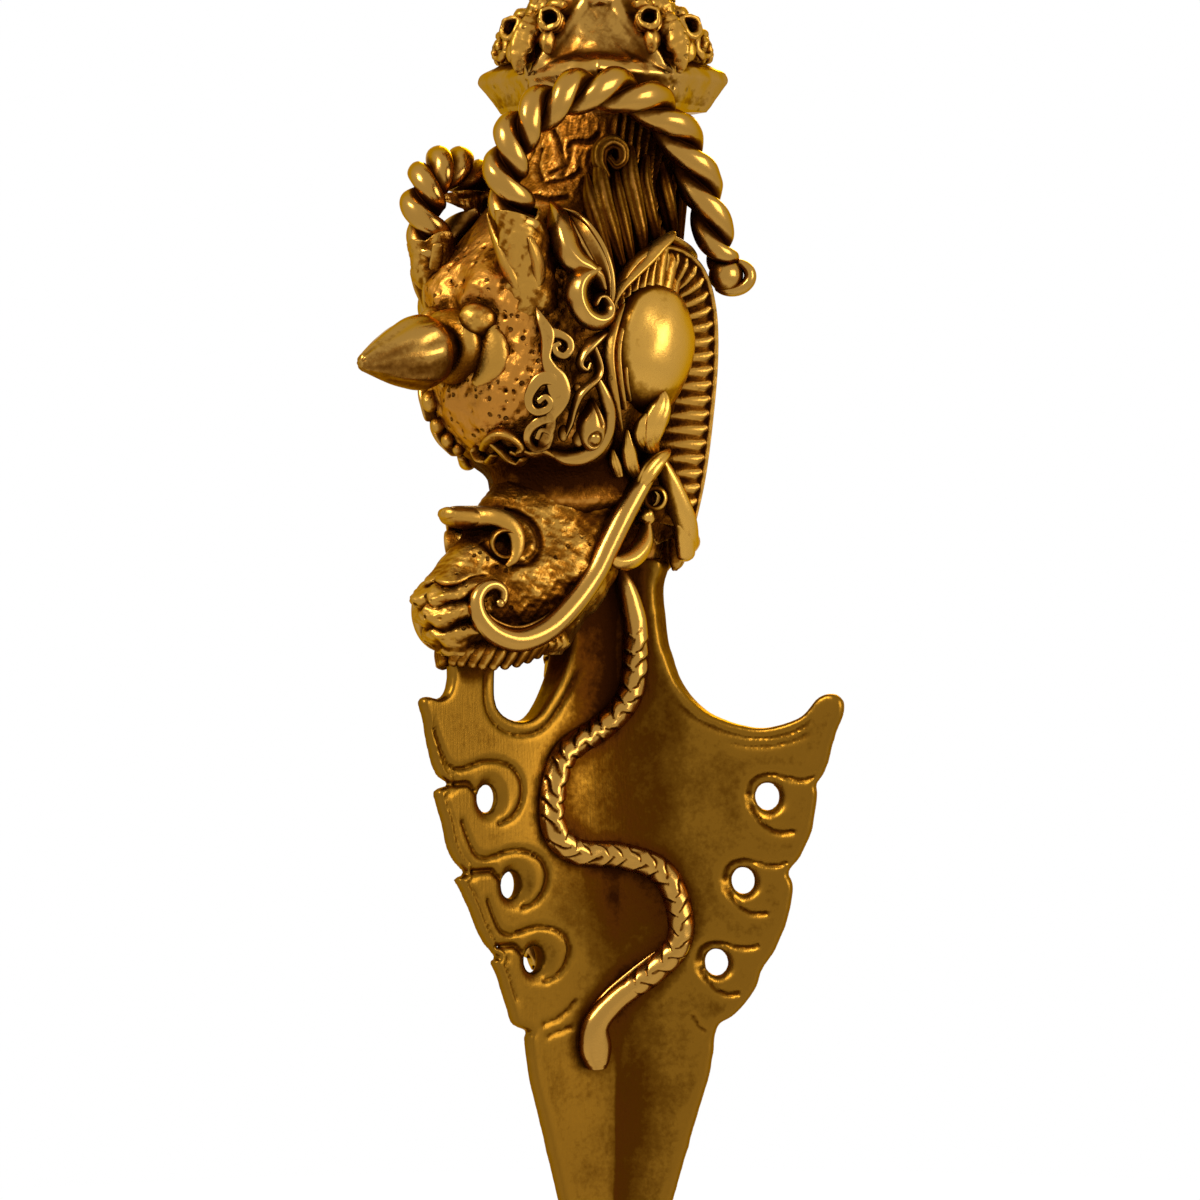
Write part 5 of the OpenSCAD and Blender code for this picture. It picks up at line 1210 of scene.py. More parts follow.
def make_cups():
    """Leaf cups: a tube that leaves the brow and closes round the horn's foot, with a leafy rim."""
    for name, rows, side, root in (("horn_cup_right", HORN_RIGHT, 1, 4.6),
                                   ("horn_cup_left", HORN_LEFT, -1, 4.0)):
        foot, nxt = (np.array([side * x, y, Z_MOUTH + share * HEAD_LEN]) for x, y, share in rows[:2])
        way = unit(nxt - foot)
        mid, low = on_skull(0.635, side * 39, -1.0), on_skull(0.55, side * 43, -4.8)
        line = smooth([(*on_skull(0.46, side * 45, -9.0), root), (*low, root + 0.6), (*mid, root),
                       (*(foot - way * 3.4), 3.9), (*(foot - way * 1.2), 3.6), (*(foot + way * 0.4), 3.7)],
                      120)
        path, wide = line[:, :3], line[:, 3:]
        up, across = frames(path, carried(path, (side, 0, 0)))
        ahead = unit(np.gradient(path, axis=0))
        a = circle(64)[None]
        t = np.linspace(0, 1, 120)[:, None]
        spoke = across[:, None] * np.cos(a)[..., None] + up[:, None] * np.sin(a)[..., None]
        leaf = np.abs(np.cos(1.5 * (a - 0.6)))
        # Flutes between the leaves deepen towards the rim, which stands highest before the face
        k = 1 - 0.12 * (1 - leaf) * eased((t - 0.3) / 0.6)
        slant = spoke @ [-0.68 * side, -0.73, 0.0]
        rise = (1.2 * (leaf - 0.45) + 1.5 * slant) * eased((t - 0.5) / 0.5)
        outer = path[:, None] + spoke * (wide * k)[..., None] + ahead[:, None] * rise[..., None]
        rim = outer[-1]
        shrink = lambda s, drop: path[-1] + (rim - path[-1]) * s - way * drop
        inner = np.array([shrink(0.95, -0.2), shrink(0.88, 0.2), shrink(0.76, 1.4), shrink(0.6, 3.6)])
        cup = np.concatenate([outer, inner])
        cup = cup + 0.2 * waves(cup, 2.4, 41, 3)[..., None] * unit(cup - cup.mean(1, keepdims=True))
        ridges = [skull_strip(flame, 70, ridged, 24) for flame in FLAMES]
        if side < 0:
            drop = [0, 0.8, (rows[0][2] - HORN_RIGHT[0][2]) * HEAD_LEN]
            ridges = [(points + drop, faces) for points, faces in map(mirrored, ridges)]
        shell = join([skin(cup)] + ridges)
        hollow = (0.4 * (1 - leaf) * np.ones((len(cup), 1)) - 0.1).ravel()
        patina_and_shade = np.concatenate([hollow, np.full(len(shell[0]) - hollow.size, -0.16)])
        make(name + "_leaves", shell, [name], cast, patina_and_shade)


# Torn sheet of casting metal between the left horn and the head: pixel y, its two edges' pixel x
FLASH = [
    (193, 474, 494), (196, 458, 494), (199, 447, 495), (203, 446, 494), (207, 450, 493), (210, 463, 492),
    (216, 471, 491), (226, 476, 491), (240, 477, 489), (254, 472, 486)]


def make_flash():
    """A crumpled sheet between two ragged edges; it leans back from the horn to the head."""
    row = smooth(FLASH, 90)[:, None]
    t = np.linspace(0, 1, 60)[None]
    ragged = 2.4 * np.sin(row[..., 0] * 1.1) * (1 - t) * np.sin(row[..., 0] * 0.37) + 0 * t
    px = row[..., 1] + (row[..., 2] - row[..., 1]) * t + ragged
    near = np.interp(px, [446, 470, 495], [10.5, 6.5, 3.2])
    sheet = on_view(px, row[..., 0] + 0 * t, 0.0)
    c, s = cos_sin(AZIMUTH)
    toward = np.array([s, -c, 0.0])
    near = near + 0.8 * waves(sheet, 3.5, 47, 3)
    front, back = (on_view(px, row[..., 0] + 0 * t, 0.0) + toward * (near - deep)[..., None]
                   for deep in (0.0, 0.9))
    shell = skin(np.concatenate([front, back[:, ::-1]], 1)[:, ::-1])
    make("torn_flash", shell, ["horn_cup_left"], cast, -0.35)


# Lobe and crescent beside the spike's root: a pixel, and rows in the columns of the brow
LOBE_PX = (477, 320)
CRESCENT = [
    (491, 330, -0.3, 1.3, 1.2), (494, 345, -0.4, 2.2, 1.5), (492, 361, -0.5, 2.5, 1.5),
    (485, 373, -0.6, 1.9, 1.2), (477, 381, -0.6, 1.1, 0.8)]


def make_spike():
    """A fat cone on a slim neck, turned about its own leaning axis; lobes hold its root."""
    seat = on_skull(0.465, 0)
    c, s = cos_sin(100)
    way = np.array([0, -s, c])
    r = 5.3
    profile = smooth([(2.2, -2.2), (3.3, 0), (3.4, 2.6), (3.8, 3.9), (4.9, 4.5), (r, 5.7), (r * 1.0, 7.2),
                      (r * 0.93, 9.2), (r * 0.74, 12.1), (r * 0.46, 15.2), (r * 0.3, 16.9), (1.15, 17.7),
                      (0.5, 18.1)], 110)

    def grooved(a, rr, z):
        return 0.032 * rr * np.cos(8 * a + 0.4) * eased((z - 4) / 3) + 0.03 * np.sin(11 * a + z)
    cone = lathe(profile, 112, grooved)
    dent = np.exp(-(((cone[0] - [2.6, -4.3, 6.6]) / 0.45) ** 2).sum(1))
    cone = (cone[0] * (1 - 0.12 * dent[:, None] * [1, 1, 0]), cone[1])
    cone = stood(cone, seat, way)
    # The cone's lower side is painted darker, as shade below the light from above
    above = (cone[0] - seat) @ [0, c, s]
    make("spike_cone", cone, ["forehead_spike"], burnished, 0.5 * eased(0.45 - above / 8) - 0.1)
    ring = lathe(smooth([(5.4, -2.6), (5.5, 0.2), (5.0, 1.5), (4.2, 2.2), (3.3, 2.1), (2.9, 1.4)], 50), 80,
                 lambda a, rr, z: 0.35 * np.sin(3 * a + 1) * eased((z + 1) / 2))
    shells = [stood(ring, seat, way)]
    lobe = egg(on_skull(*skull_place([LOBE_PX], 0.2)[0], 0.2), (2.9, 2.8, 2.6), (0, 0, 15), 44,
               lambda b: b * (1 + 0.06 * waves(b, 1.2, 7, 2)[..., None]))
    crescent = skull_strip(CRESCENT, 70, None, 24)
    shells += [lobe, crescent, mirrored(lobe), mirrored(crescent)]
    make("spike_collar_ring", join(shells), ["spike_collar"], cast)


# Mane in the hollow behind the horn, read off the photograph: strands that fall from a whorl
MANE = [
    [(588, 178, 0.4, 0.4, 0.8), (591, 200, 1.3, 0.95, 1.4), (596, 225, 1.6, 1.1, 1.5),
     (603, 250, 1.4, 0.9, 1.3), (612, 272, 0.8, 0.3, 0.8)],
    [(603, 150, 0.5, 0.5, 0.8), (600, 172, 1.4, 0.9, 1.3), (603, 200, 1.8, 1.1, 1.6),
     (610, 230, 1.8, 1.1, 1.5), (620, 262, 1.2, 0.5, 1.0)],
    [(615, 172, 0.5, 0.5, 0.9), (617, 195, 1.3, 0.9, 1.4), (621, 222, 1.6, 1.0, 1.5),
     (626, 246, 1.4, 0.8, 1.3), (632, 268, 0.9, 0.3, 0.8)],
    [(630, 150, 0.5, 0.5, 0.9), (629, 175, 1.5, 1.1, 1.6), (633, 205, 1.8, 1.2, 1.7),
     (638, 232, 1.6, 1.0, 1.5), (642, 258, 1.0, 0.4, 0.9)],
    [(645, 158, 0.4, 0.4, 0.8), (643, 180, 1.2, 0.9, 1.4), (647, 208, 1.5, 1.0, 1.5),
     (652, 232, 1.3, 0.8, 1.3), (655, 250, 0.8, 0.3, 0.8)],
    [(662, 165, 0.2, 0.4, 0.8), (664, 190, 0.8, 1.0, 1.4), (668, 215, 0.9, 1.0, 1.4),
     (670, 238, 0.5, 0.4, 0.9)],
    [(606, 176, 1.6, 0.5, 0.9), (599, 163, 1.8, 0.8, 1.2), (601, 149, 1.8, 0.9, 1.3),
     (611, 142, 1.8, 0.9, 1.3), (621, 148, 1.7, 0.8, 1.2), (622, 160, 1.6, 0.7, 1.1),
     (615, 166, 1.5, 0.55, 1.0), (609, 160, 1.4, 0.5, 0.9)]]


def make_mane():
    """Locks carried along lines on the skull; at the back they are waves worked out by a formula."""
    both_sides("mane_locks", join([skull_strip(rows, 84, tressed, 44, 1.35) for rows in MANE]), "mane",
               smoked)
    shells = []
    t = np.linspace(0, 1, 96)
    for i in np.arange(-2.5, 3):
        share = 0.96 - 0.02 * abs(i) + (0.28 + 0.03 * abs(i) - 0.96) * t
        around = 180 + 17 * i + 5 * np.sin(2 * math.pi * t + 0.5 * i) + 3 * t
        wide = 2.5 * (0.4 + 0.75 * np.sin(np.radians(150 * t + 15))) * (1 - 0.6 * t**2)
        shells.append(rod(on_skull(share, around, 0.6 * np.sin(math.pi * t) + 0.2), skull_out(share, around),
                          wide, 1.7 * (1 - 0.5 * t), tressed, 42))
    make("mane_back_locks", join(shells), ["mane_back"], smoked)


# Line of the upper teeth, from the chin backwards: x, y, and height of the tips over the palate
GUMS = [
    (1.4, -30.3, -14.8), (3.9, -28.8, -15.1), (6.0, -26.7, -15.4), (7.6, -23.6, -15.0), (8.3, -20.2, -13.8),
    (8.4, -17.6, -12.8)]
# Lower jaw: x, y, height over the palate, half height, half thickness; it runs round behind the blade
JAW = [
    (12.6, -0.6, 14.2, 1.0, 1.2), (12.6, 1.6, 10.6, 1.7, 1.7), (12.2, 4.2, 6.2, 1.9, 1.9),
    (10.7, 6.5, 3.2, 1.9, 1.7), (9.0, 8.4, 2.7, 1.8, 1.7), (5.8, 10.8, 2.6, 1.8, 1.8),
    (0, 12.1, 2.8, 1.8, 1.9)]


def make_jaws():
    """The lower jaw is a bevelled strap; ridged gums, pegs and crescent tusks fill the mouth's corners."""
    half = smooth(JAW, 110)
    rows = np.vstack([half, half[-2::-1] * [-1, 1, 1, 1, 1]])
    path = np.column_stack([rows[:, :2], Z_MOUTH + rows[:, 2]])
    strap = rod(path, np.column_stack([rows[:, :2], 0 * rows[:, 0]]), rows[:, 3], rows[:, 4], bevelled, 36)
    parts = [strap]
    for side in (1, -1):
        # The strap's lower corner hangs down in a square tongue, and a ring stands before it
        tongue = smooth([(12.0, 4.4, 5.6, 1.9, 1.2), (11.5, 5.4, 3.0, 1.9, 1.3), (11.1, 6.0, 0.9, 1.8, 1.2)],
                        40)
        parts.append(rod(beside_snout(side, tongue), (side, 0.3, 0.1), tongue[:, 3], tongue[:, 4],
                         bevelled, 32))
        ring = lathe(smooth([(1.9, -1.2), (2.0, 0), (1.8, 0.7), (1.4, 0.9), (1.15, 0.5), (1.05, -1.2),
                             (0.8, -2.4)], 34), 44)
        parts.append(stood(ring, by_snout(side * 12.4, -1.7, 9.0), unit(np.array([side * 0.8, -0.6, 0.0]))))
    make("jaw_strap", join(parts), ["lower_jaw"], polished)
    # Rough webs of metal close the corner of the mouth between the strap and the skull
    t = np.linspace(0, 1, 26)[:, None, None]
    near = smooth([(12.9, -0.6, 14.4), (12.9, 1.6, 10.6), (12.4, 4.2, 6.4), (11.2, 6.6, 3.6)], 60)[None]
    far = smooth([(11.6, -5.4, 13.6), (11.6, -4.6, 9.4), (11.0, -2.4, 5.4), (9.8, 1.2, 2.2)], 60)[None]
    sheet = near + (far - near) * t - [0.8, 0, 0] * np.sin(math.pi * t)
    sheet = sheet + np.array([0.35, -0.1, 0]) * waves(sheet, 3.0, 44, 3)[..., None]
    web = skin(np.concatenate([sheet, sheet[:, ::-1] - [1.4, 0, 0]], 1)[:, ::-1] + [0, 0, Z_MOUTH])
    both_sides("jaw_web", web, "cheek", cast, -0.05)
    teeth, tusks, gums = [], [], []
    for side in (1, -1):
        for x, y, low in smooth(GUMS, 11):
            x = side * x
            peg = smooth([(x - side * 0.9, y + 1.2, -10.9, 0.8), (x, y + 0.7, -12.2, 1.1),
                          (x, y - 0.2, low + 1.6, 1.15), (x - side * 0.4, y - 1.0, low, 0.7)], 30)
            teeth.append(rod(by_snout(*peg[:, :3].T), (side, -0.4, 0), peg[:, 3] * 1.15, peg[:, 3] * 1.1,
                             ridged, 20))
        tusk = smooth([(11.6, -2.6, 5.2, 0.9), (12.3, -3.8, 2.4, 1.5), (12.5, -6.2, 0.3, 1.6),
                       (12.4, -8.6, -0.4, 1.2), (12.2, -10.4, 0.1, 0.6), (12.1, -11.4, 0.8, 0.2)], 70)
        tusks.append(rod(beside_snout(side, tusk), (side, -0.3, 0), tusk[:, 3], tusk[:, 3], ridged, 26))
        tusks.append(egg(by_snout(side * 11.9, -2.8, 6.3), (1.2, 1.4, 1.3), (0, 0, 30), 24,
                         lambda b: b * (1 + 0.12 * waves(b, 1.1, 43, 2)[..., None])))
    make("upper_teeth_rows", join(teeth), ["teeth_upper"], cast, 0.48)
    make("jaw_tusks", join(tusks), ["teeth_upper"], polished, -0.3)
    for angle in np.radians(np.linspace(26, 154, 9)):
        c, s = math.cos(angle), math.sin(angle)
        at_y = 2.4 + 8.4 * s
        peg = smooth([(10.2 * c, at_y, 4.2, 1.2), (10.1 * c, at_y, 1.4, 1.15),
                      (9.8 * c, at_y - 0.2, -0.6, 0.8), (9.6 * c, at_y - 0.3, -1.4, 0.3)], 30)
        gums.append(rod(by_snout(*peg[:, :3].T), (c, s, 0), peg[:, 3], peg[:, 3], ridged, 20))
    make("lower_teeth_comb", join(gums), ["teeth_lower"], cast)


make_ears()
make_cheeks()
make_frills()
make_horn("horn_right", HORN_RIGHT, 1)
make_horn("horn_left", HORN_LEFT, -1)
make_cups()
make_flash()
make_spike()
make_mane()
make_jaws()


# Knots: an eight-sided bead, widest at the girdle, with a hollow over each corner and a mask on each face.
# GIRDLE and HOLLOW_TOP are shares of the height; u is 1 mm on the lower knot and less on the upper one
GIRDLE, HOLLOW_TOP = 0.34, 0.93


def knot_radius(angle, t, width, worn=0.0):
    """Radius of an eight-sided section over the share t of the height: it runs straight from each corner,
    on a diagonal, to the middle of the next face. The corners are worn round by some radians."""
    r, foot = width / 2, KNOT_FOOT
    level = smooth([(0, 0.86 * r), (0.13, 0.95 * r), (0.27, 0.99 * r), (GIRDLE, r), (0.41, 0.965 * r),
                    (0.62, r * 0.5 + foot * 0.5 + 0.6), (0.88, foot + 0.8), (1, foot)], 160)
    corner = np.interp(t, level[:, 0], level[:, 1])
    side = corner * (1 - 0.2 * np.clip((corner - foot) / (r - foot), 0, 1)) * math.sqrt(0.5)
    d = np.hypot(np.radians(angle % 90 - 45), worn)
    return corner * side / (np.cos(d) * side - np.sin(d) * (side - corner))


def make_knot(name, width, height, z):
    """Radius over angle and height; over each corner it is cut back to a dished floor inside a triangle."""
    u = height / KNOT_H
    angle, t = np.meshgrid(np.linspace(0, 360, 420, endpoint=False), np.linspace(0, 1, 112))
    r = knot_radius(angle, t, width)
    turn = np.radians(angle % 90 - 45)
    aside = np.sin(turn) * r
    # The triangle stands on the girdle and is cut off blunt near the top. Its floor is the corner
    # worn round, with a shallow dish in it
    wide, blunt = 9.2 * u, 1.9 * u
    slope = (wide - blunt) / ((HOLLOW_TOP - GIRDLE) * height)
    edge = (wide - (t - GIRDLE) * height * slope - np.abs(aside)) / math.hypot(1, slope)
    inside = np.minimum(np.minimum(edge, (HOLLOW_TOP - t) * height), (t - GIRDLE) * height + 0.5)
    deep = knot_radius(angle, t, width, 0.15) - 0.9 * u * eased(inside / (3 * u))
    cut = eased(inside / (0.8 * u)) * eased((t - GIRDLE) / 0.12)
    r = r + (deep - r) * cut
    # A low ridge runs round the hollow, and the underside has a shallow dish below each corner
    r = r + 0.6 * u * bump(inside + 0.6, 0.9 * u) * (t < 0.97)
    below = np.minimum((8 * u - np.abs(aside)) / 2, (0.22 - t) * height)
    r = r - 0.5 * u * eased(below / (2 * u))
    a = np.radians(angle)
    p = np.stack([r * np.cos(a), r * np.sin(a), z + t * height], -1)
    rough = eased((np.abs(aside) - 9 * u) / 2) * (1 - cut)
    r = r + (0.04 + 0.27 * rough) * waves(p, 2.6, 31, 3) + 0.2 * waves(p, 8, 32, 2)
    p = np.stack([r * np.cos(a), r * np.sin(a), z + t * height], -1)
    # The hollows are painted darker, most in their lower part, and so is the bead below the girdle: patina
    # mixed with painted shade. Rough faces are a little darker.
    patina_and_shade = -0.28 + (0.2 + 0.35 * eased((0.7 - t) / 0.35)) * cut + 0.1 * rough + 0.3 * eased((0.3 - t) / 0.3)
    pits = 0.6 * rough + 0.4 * eased((0.3 - t) / 0.1)
    make(name + "_bead", skin(p), [name], burnished, patina_and_shade, pits)


def spiral(centre, out, up, size, turns, thick, start=0.0, n=50):
    """A rod along a shrinking circle in the plane of two directions, with a ball at its inner end."""
    t = np.linspace(0, 1, n)[:, None]
    a, r = start + turns * 2 * math.pi * t, size * (1 - 0.72 * t)
    across = np.cross(up, out)
    path = centre + across * r * np.cos(a) + up * r * np.sin(a) + out * (0.4 * size * t)
    w = (thick * (1 - 0.35 * t)).ravel()
    return join([rod(path, out, w, w, sides=16), egg(path[-1], (thick * 0.8,) * 3, n=12)])


def make_masks(name, width, height, z):
    """Four lion-like masks: tube eyes, a beaked muzzle, a tufted crest, brow balls and curled ears."""
    r, u = width / 2, height / KNOT_H
    out, up, side_way = unit(np.array([1.0, 0, 0.28])), unit(np.array([-0.28, 0, 1.0])), np.array([0, 1.0, 0])
    nose = smooth([(r * 0.66, height * 0.84, 1.4), (r * 0.78, height * 0.7, 2.0),
                   (r * 0.88, height * 0.56, 1.9), (r * 0.92, height * 0.42, 1.3),
                   (r * 0.9, height * 0.3, 0.5)], 44)
    path = upright(nose[:, 0], z + nose[:, 1])
    shells = [rod(path, out, nose[:, 2] * u, nose[:, 2] * u * 0.9, ridged, 24)]
    # Each eye: place aside, how far it looks aside, height share and size
    for lateral, look, share, size in ((-3.7, -0.8, 0.75, 0.95), (3.7, -0.12, 0.7, 1.05)):
        eye = np.array([r * 0.75, lateral * u, z + height * share])
        tube = lathe(smooth([(2.4, -2.6), (2.25, -1.5), (2.0, -1.1), (2.2, -0.6), (1.85, -0.1), (2.05, 0.5),
                             (1.8, 0.9), (1.95, 1.5), (1.7, 2.0), (1.25, 2.0), (1.0, 1.3), (0.85, -1.0)], 40)
                     * u * size, 28)
        shells.append(stood(tube, eye, unit(out + side_way * look)))
        shells.append(egg(eye + up * 2.7 * u - out * 0.5 * u, (1.4 * u, 1.7 * u, 1.1 * u), n=14))
        shells.append(egg(eye - up * 3.2 * u - out * 0.1 * u, (1.2 * u, 1.1 * u, 1.9 * u), n=14))
    # The curled ear is on one side only
    ear = np.array([r * 0.7, 8.0 * u, z + height * 0.57])
    way = unit(np.array([0.8, 0.2, 0.1]))
    shells.append(egg(ear - way * 1.6 * u, (2.3 * u, 2.4 * u, 3.0 * u), n=22))
    shells.append(spiral(ear, way, unit(up - way * (up @ way)), 2.2 * u, 1.3, 0.8 * u, 1.2))
    crest = smooth([(r * 0.54, 0.98, 0.8), (r * 0.66, 0.94, 1.6), (r * 0.74, 0.87, 1.4),
                    (r * 0.77, 0.8, 0.7)], 34)
    path = upright(crest[:, 0], z + crest[:, 1] * height)
    shells.append(rod(path, out, crest[:, 2] * u * 1.3, crest[:, 2] * u * 0.8, feathered, 28))
    points, faces = join(shells)
    points = points + 0.2 * u * np.stack([waves(points, 2.2, 33 + k, 2) for k in range(3)], -1)
    # Neighbouring masks are mirror images, so that their ears meet over every other corner
    twin = (points * [1, -1, 1], faces[:, ::-1])
    masks = [turned((points, faces) if i % 2 == 0 else twin, 90 * i) for i in range(4)]
    make(name + "_faces", join(masks), [name], cast, -0.22, 0.3)


# Handle: turned pieces whose petals and flutes are worked into the radius
def round_the_turn(a, parts):
    """For angles a, the share of the way from a part's middle to its edge, where parts stand in a ring."""
    step = 2 * math.pi / parts
    return np.abs((a % step) / step - 0.5) * 2


def make_lotus(name, z, up):
    """A collar of two rows of petals: the radius swells by each petal's bow and is cut between them."""
    R, G = LOTUS_R, GRIP_R
    profile = smooth([(3, 0), (R - 2.4, 0), (R - 1.9, 0.5), (R - 1.8, 1.2), (R - 2.6, 2.1), (R - 2.3, 3.0),
                      (R - 0.9, 4.2), (R - 0.1, 6.0), (R, 7.0), (R - 0.6, 8.2), (R - 2.0, 9.2),
                      (G - 1.4, 10), (3, 10)], 76)
    t = profile[:, 1:2] / LOTUS_H

    def petal(a, r, _):
        half = math.pi / PETALS
        a = a + half
        near, lower = round_the_turn(a, PETALS), round_the_turn(a + half, PETALS)
        tip = 0.86 * np.sqrt(np.clip(1 - (np.clip(t - 0.25, 0, 1) / 0.6) ** 2.2, 0, 1))
        lift = 0.9 * eased((tip - near) / 0.12) * eased((t - 0.25) / 0.1) * eased((0.94 - t) / 0.1)
        vein = 0.3 * bump(near, 0.12) * lift
        under = 0.6 * eased((0.7 - lower) / 0.2) * eased((t - 0.22) / 0.08) * eased((0.6 - t) / 0.1)
        bead = 0.35 * np.abs(np.sin(a * 24)) * bump(t - 0.08, 0.06)
        rise = (np.maximum(lift, under) - 0.7 + vein) * eased((t - 0.2) / 0.06)
        return rise * eased((0.97 - t) / 0.03) + bead
    collar = lathe(profile, 336, petal)
    make(name + "_petals", raised(collar if up else turned_over(collar, LOTUS_H), z), [name], cast)


def make_grip(name, z, up):
    """Half of a grip like a bundle of closed prongs: deep flutes, each rib split by a graver's line."""
    h, G = Z_RING - Z_GRIP, GRIP_R
    profile = smooth([(2.6, 0), (G - 2.6, 0), (G - 1.5, h * 0.07), (G - 0.8, h * 0.16), (G, h * 0.4),
                      (G - 0.4, h * 0.68), (G - 1.6, h * 0.9), (G - 2.2, h), (2.6, h)], 80)
    t = profile[:, 1:2] / h

    def flute(a, r, _):
        near = round_the_turn(a + math.pi / FLUTES, FLUTES)
        ends = eased(t / 0.04) * eased((1 - t) / 0.04)
        rib = np.sqrt(np.clip(1 - near**2.6, 0, 1)) - 1
        leaf = 0.5 * eased((0.75 - near - 2.4 * np.abs(t - 0.2)) / 0.12)
        return ends * (2.0 * rib - 0.3 * bump(near, 0.1) * eased((t - 0.36) / 0.1) + leaf)
    grip = lathe(profile, 320, flute)
    make(name + "_prongs", raised(grip if up else turned_over(grip, h), z), [name], cast)


def make_ring():
    """Two rows of beads round the grip's middle with a plain fillet between them."""
    R, h = GRIP_R - 0.6, RING_H
    half = [(3, 0.02), (R - 0.6, 0.0), (R + 0.5, 0.25), (R + 1.25, 1.25), (R + 0.5, 2.2), (R - 0.1, 2.42),
            (R + 0.15, 2.5)]
    profile = smooth(half + [(r, h - z) for r, z in half[-2::-1]], 60)
    t = profile[:, 1:2]
    rows = bump(t - 1.25, 0.8) + bump(t - h + 1.25, 0.8)

    def beads(a, r, _):
        return 0.5 * (np.sqrt(np.abs(np.sin(a * FLUTES * 2))) - 1) * rows
    make("grip_ring_beads", raised(lathe(profile, 384, beads), Z_RING), ["grip_ring"], burnished)


# Finial: half of a vajra, its claws closing over a central prong
def make_finial():
    """Seat turned with petals, a four-sided core, and claws with a leaf at the root and a hook above."""
    F, h = KNOT_FOOT, SEAT_H
    profile = smooth([(3, 0), (F - 1, 0), (F - 0.1, 0.6), (F, 1.2), (F - 0.7, 2.2), (F - 2.6, 3.0),
                      (F - 3, 3.5), (F - 2.4, h - 1.4), (F - 2.3, h - 0.8), (F - 3.2, h), (3, h)], 60)
    t = profile[:, 1:2] / h

    def petal(a, r, _):
        bow = 0.5 * np.sqrt(np.clip(1 - round_the_turn(a, PETALS) ** 2, 0, 1)) - 0.5
        bead = 0.3 * (np.abs(np.sin(a * 18)) - 0.5) * bump(t - 0.84, 0.12)
        return bow * eased((t - 0.02) / 0.1) * eased((0.62 - t) / 0.15) + bead
    make("vajra_seat_petals", raised(lathe(profile, 288, petal), Z_VAJRA), ["vajra_seat"], cast)
    V = VAJRA_H
    core = smooth([(4.4, 0.01), (4.3, 0.6), (3.6, V * 0.1), (2.4, V * 0.18), (2.2, V * 0.24),
                   (2.9, V * 0.34), (2.5, V * 0.42), (2.9, V * 0.56), (2.3, V * 0.74), (1.7, V * 0.88),
                   (0.9, V * 0.96), (0.3, V * 0.997)], 100)

    def four_sided(a, r, z):
        bead = 0.6 * np.abs(np.sin(4 * a)) * bump(z - V * 0.3, 2.5)
        return 0.12 * r * (np.cos(4 * a) * eased((z - V * 0.4) / 3) + bead)
    make("vajra_prong", raised(lathe(core, 96, four_sided), Z_CLAWS), ["vajra_core"], burnished)
    ahead = (1, 0, 0.01)
    claw = smooth([(0.36, 0.01, 1.3, 1.5), (0.62, 0.07, 1.6, 1.7), (0.92, 0.26, 1.5, 1.6),
                   (0.98, 0.44, 1.3, 1.5), (0.84, 0.64, 1.2, 1.3), (0.55, 0.82, 1, 1.1),
                   (0.36, 0.92, 0.6, 0.7)], 100)
    path = upright(claw[:, 0] * VAJRA_R, Z_CLAWS + claw[:, 1] * V)
    shells = [rod(path, ahead, claw[:, 2], claw[:, 3], ridged, 32)]
    hook = smooth([(0.95, 0.3, 1.2), (1.04, 0.36, 1.0), (1.08, 0.43, 0.7), (1.03, 0.48, 0.35)], 30)
    path = upright(hook[:, 0] * VAJRA_R, Z_CLAWS + hook[:, 1] * V)
    shells.append(rod(path, ahead, hook[:, 2], hook[:, 2] * 0.8, ridged, 24))
    for side in (1, -1):
        leaf = smooth([(0.7, 0.1, 0.4, 0.5), (0.86, 0.17, 1.5, 1.0), (0.98, 0.25, 1.7, 0.9),
                       (1.0, 0.33, 2.4, 0.25)], 30)
        path = upright(leaf[:, 0] * VAJRA_R, Z_CLAWS + leaf[:, 1] * V, side * leaf[:, 2] * 0.8)
        shells.append(rod(path, ahead, leaf[:, 3] * 0.9, leaf[:, 3] * 0.8, feathered, 24))
    one = join(shells)
    make("vajra_claw_set", join([turned(one, 360 / CLAWS * i) for i in range(CLAWS)]), ["vajra_claws"],
         burnished)


make_knot("knot_lower", KNOT_W, KNOT_H, Z_KNOT)
make_knot("knot_upper", TOP_KNOT_W, TOP_KNOT_H, Z_TOP_KNOT)
make_masks("knot_masks_lower", KNOT_W, KNOT_H, Z_KNOT)
make_masks("knot_masks_upper", TOP_KNOT_W, TOP_KNOT_H, Z_TOP_KNOT)
make_lotus("lotus_lower", Z_LOTUS, True)
make_lotus("lotus_upper", Z_TOP_LOTUS, False)
make_grip("grip_lower", Z_GRIP, False)
make_grip("grip_upper", Z_RING + RING_H, True)
make_ring()
make_finial()


# Relief and occlusion: how far each point stands proud, and how much metal closes round it; the colour
# darkens with both, as patina mixed with painted shade
def relief_of(mesh, rounds):
    """Height of each point over a smoothed copy of its mesh, along its normal, in millimetres."""
    n = len(mesh.vertices)
    flat = np.empty(n * 3, np.float32)
    mesh.vertices.foreach_get("co", flat)
    start = flat.reshape(-1, 3).astype(float) * 1000
    edges = np.empty(len(mesh.edges) * 2, np.int32)
    mesh.edges.foreach_get("vertices", edges)
    a, b = edges.reshape(-1, 2).T
    count = np.maximum(np.bincount(a, minlength=n) + np.bincount(b, minlength=n), 1)
    soft = start.copy()
    for _ in range(rounds):
        soft = np.stack([(np.bincount(a, soft[b, k], n) + np.bincount(b, soft[a, k], n)) / count
                         for k in range(3)], -1) * 0.5 + soft * 0.5
    flat = np.empty(n * 3, np.float32)
    mesh.vertices.foreach_get("normal", flat)
    normal = flat.reshape(-1, 3)
    return start, normal, ((start - soft) * normal).sum(1)


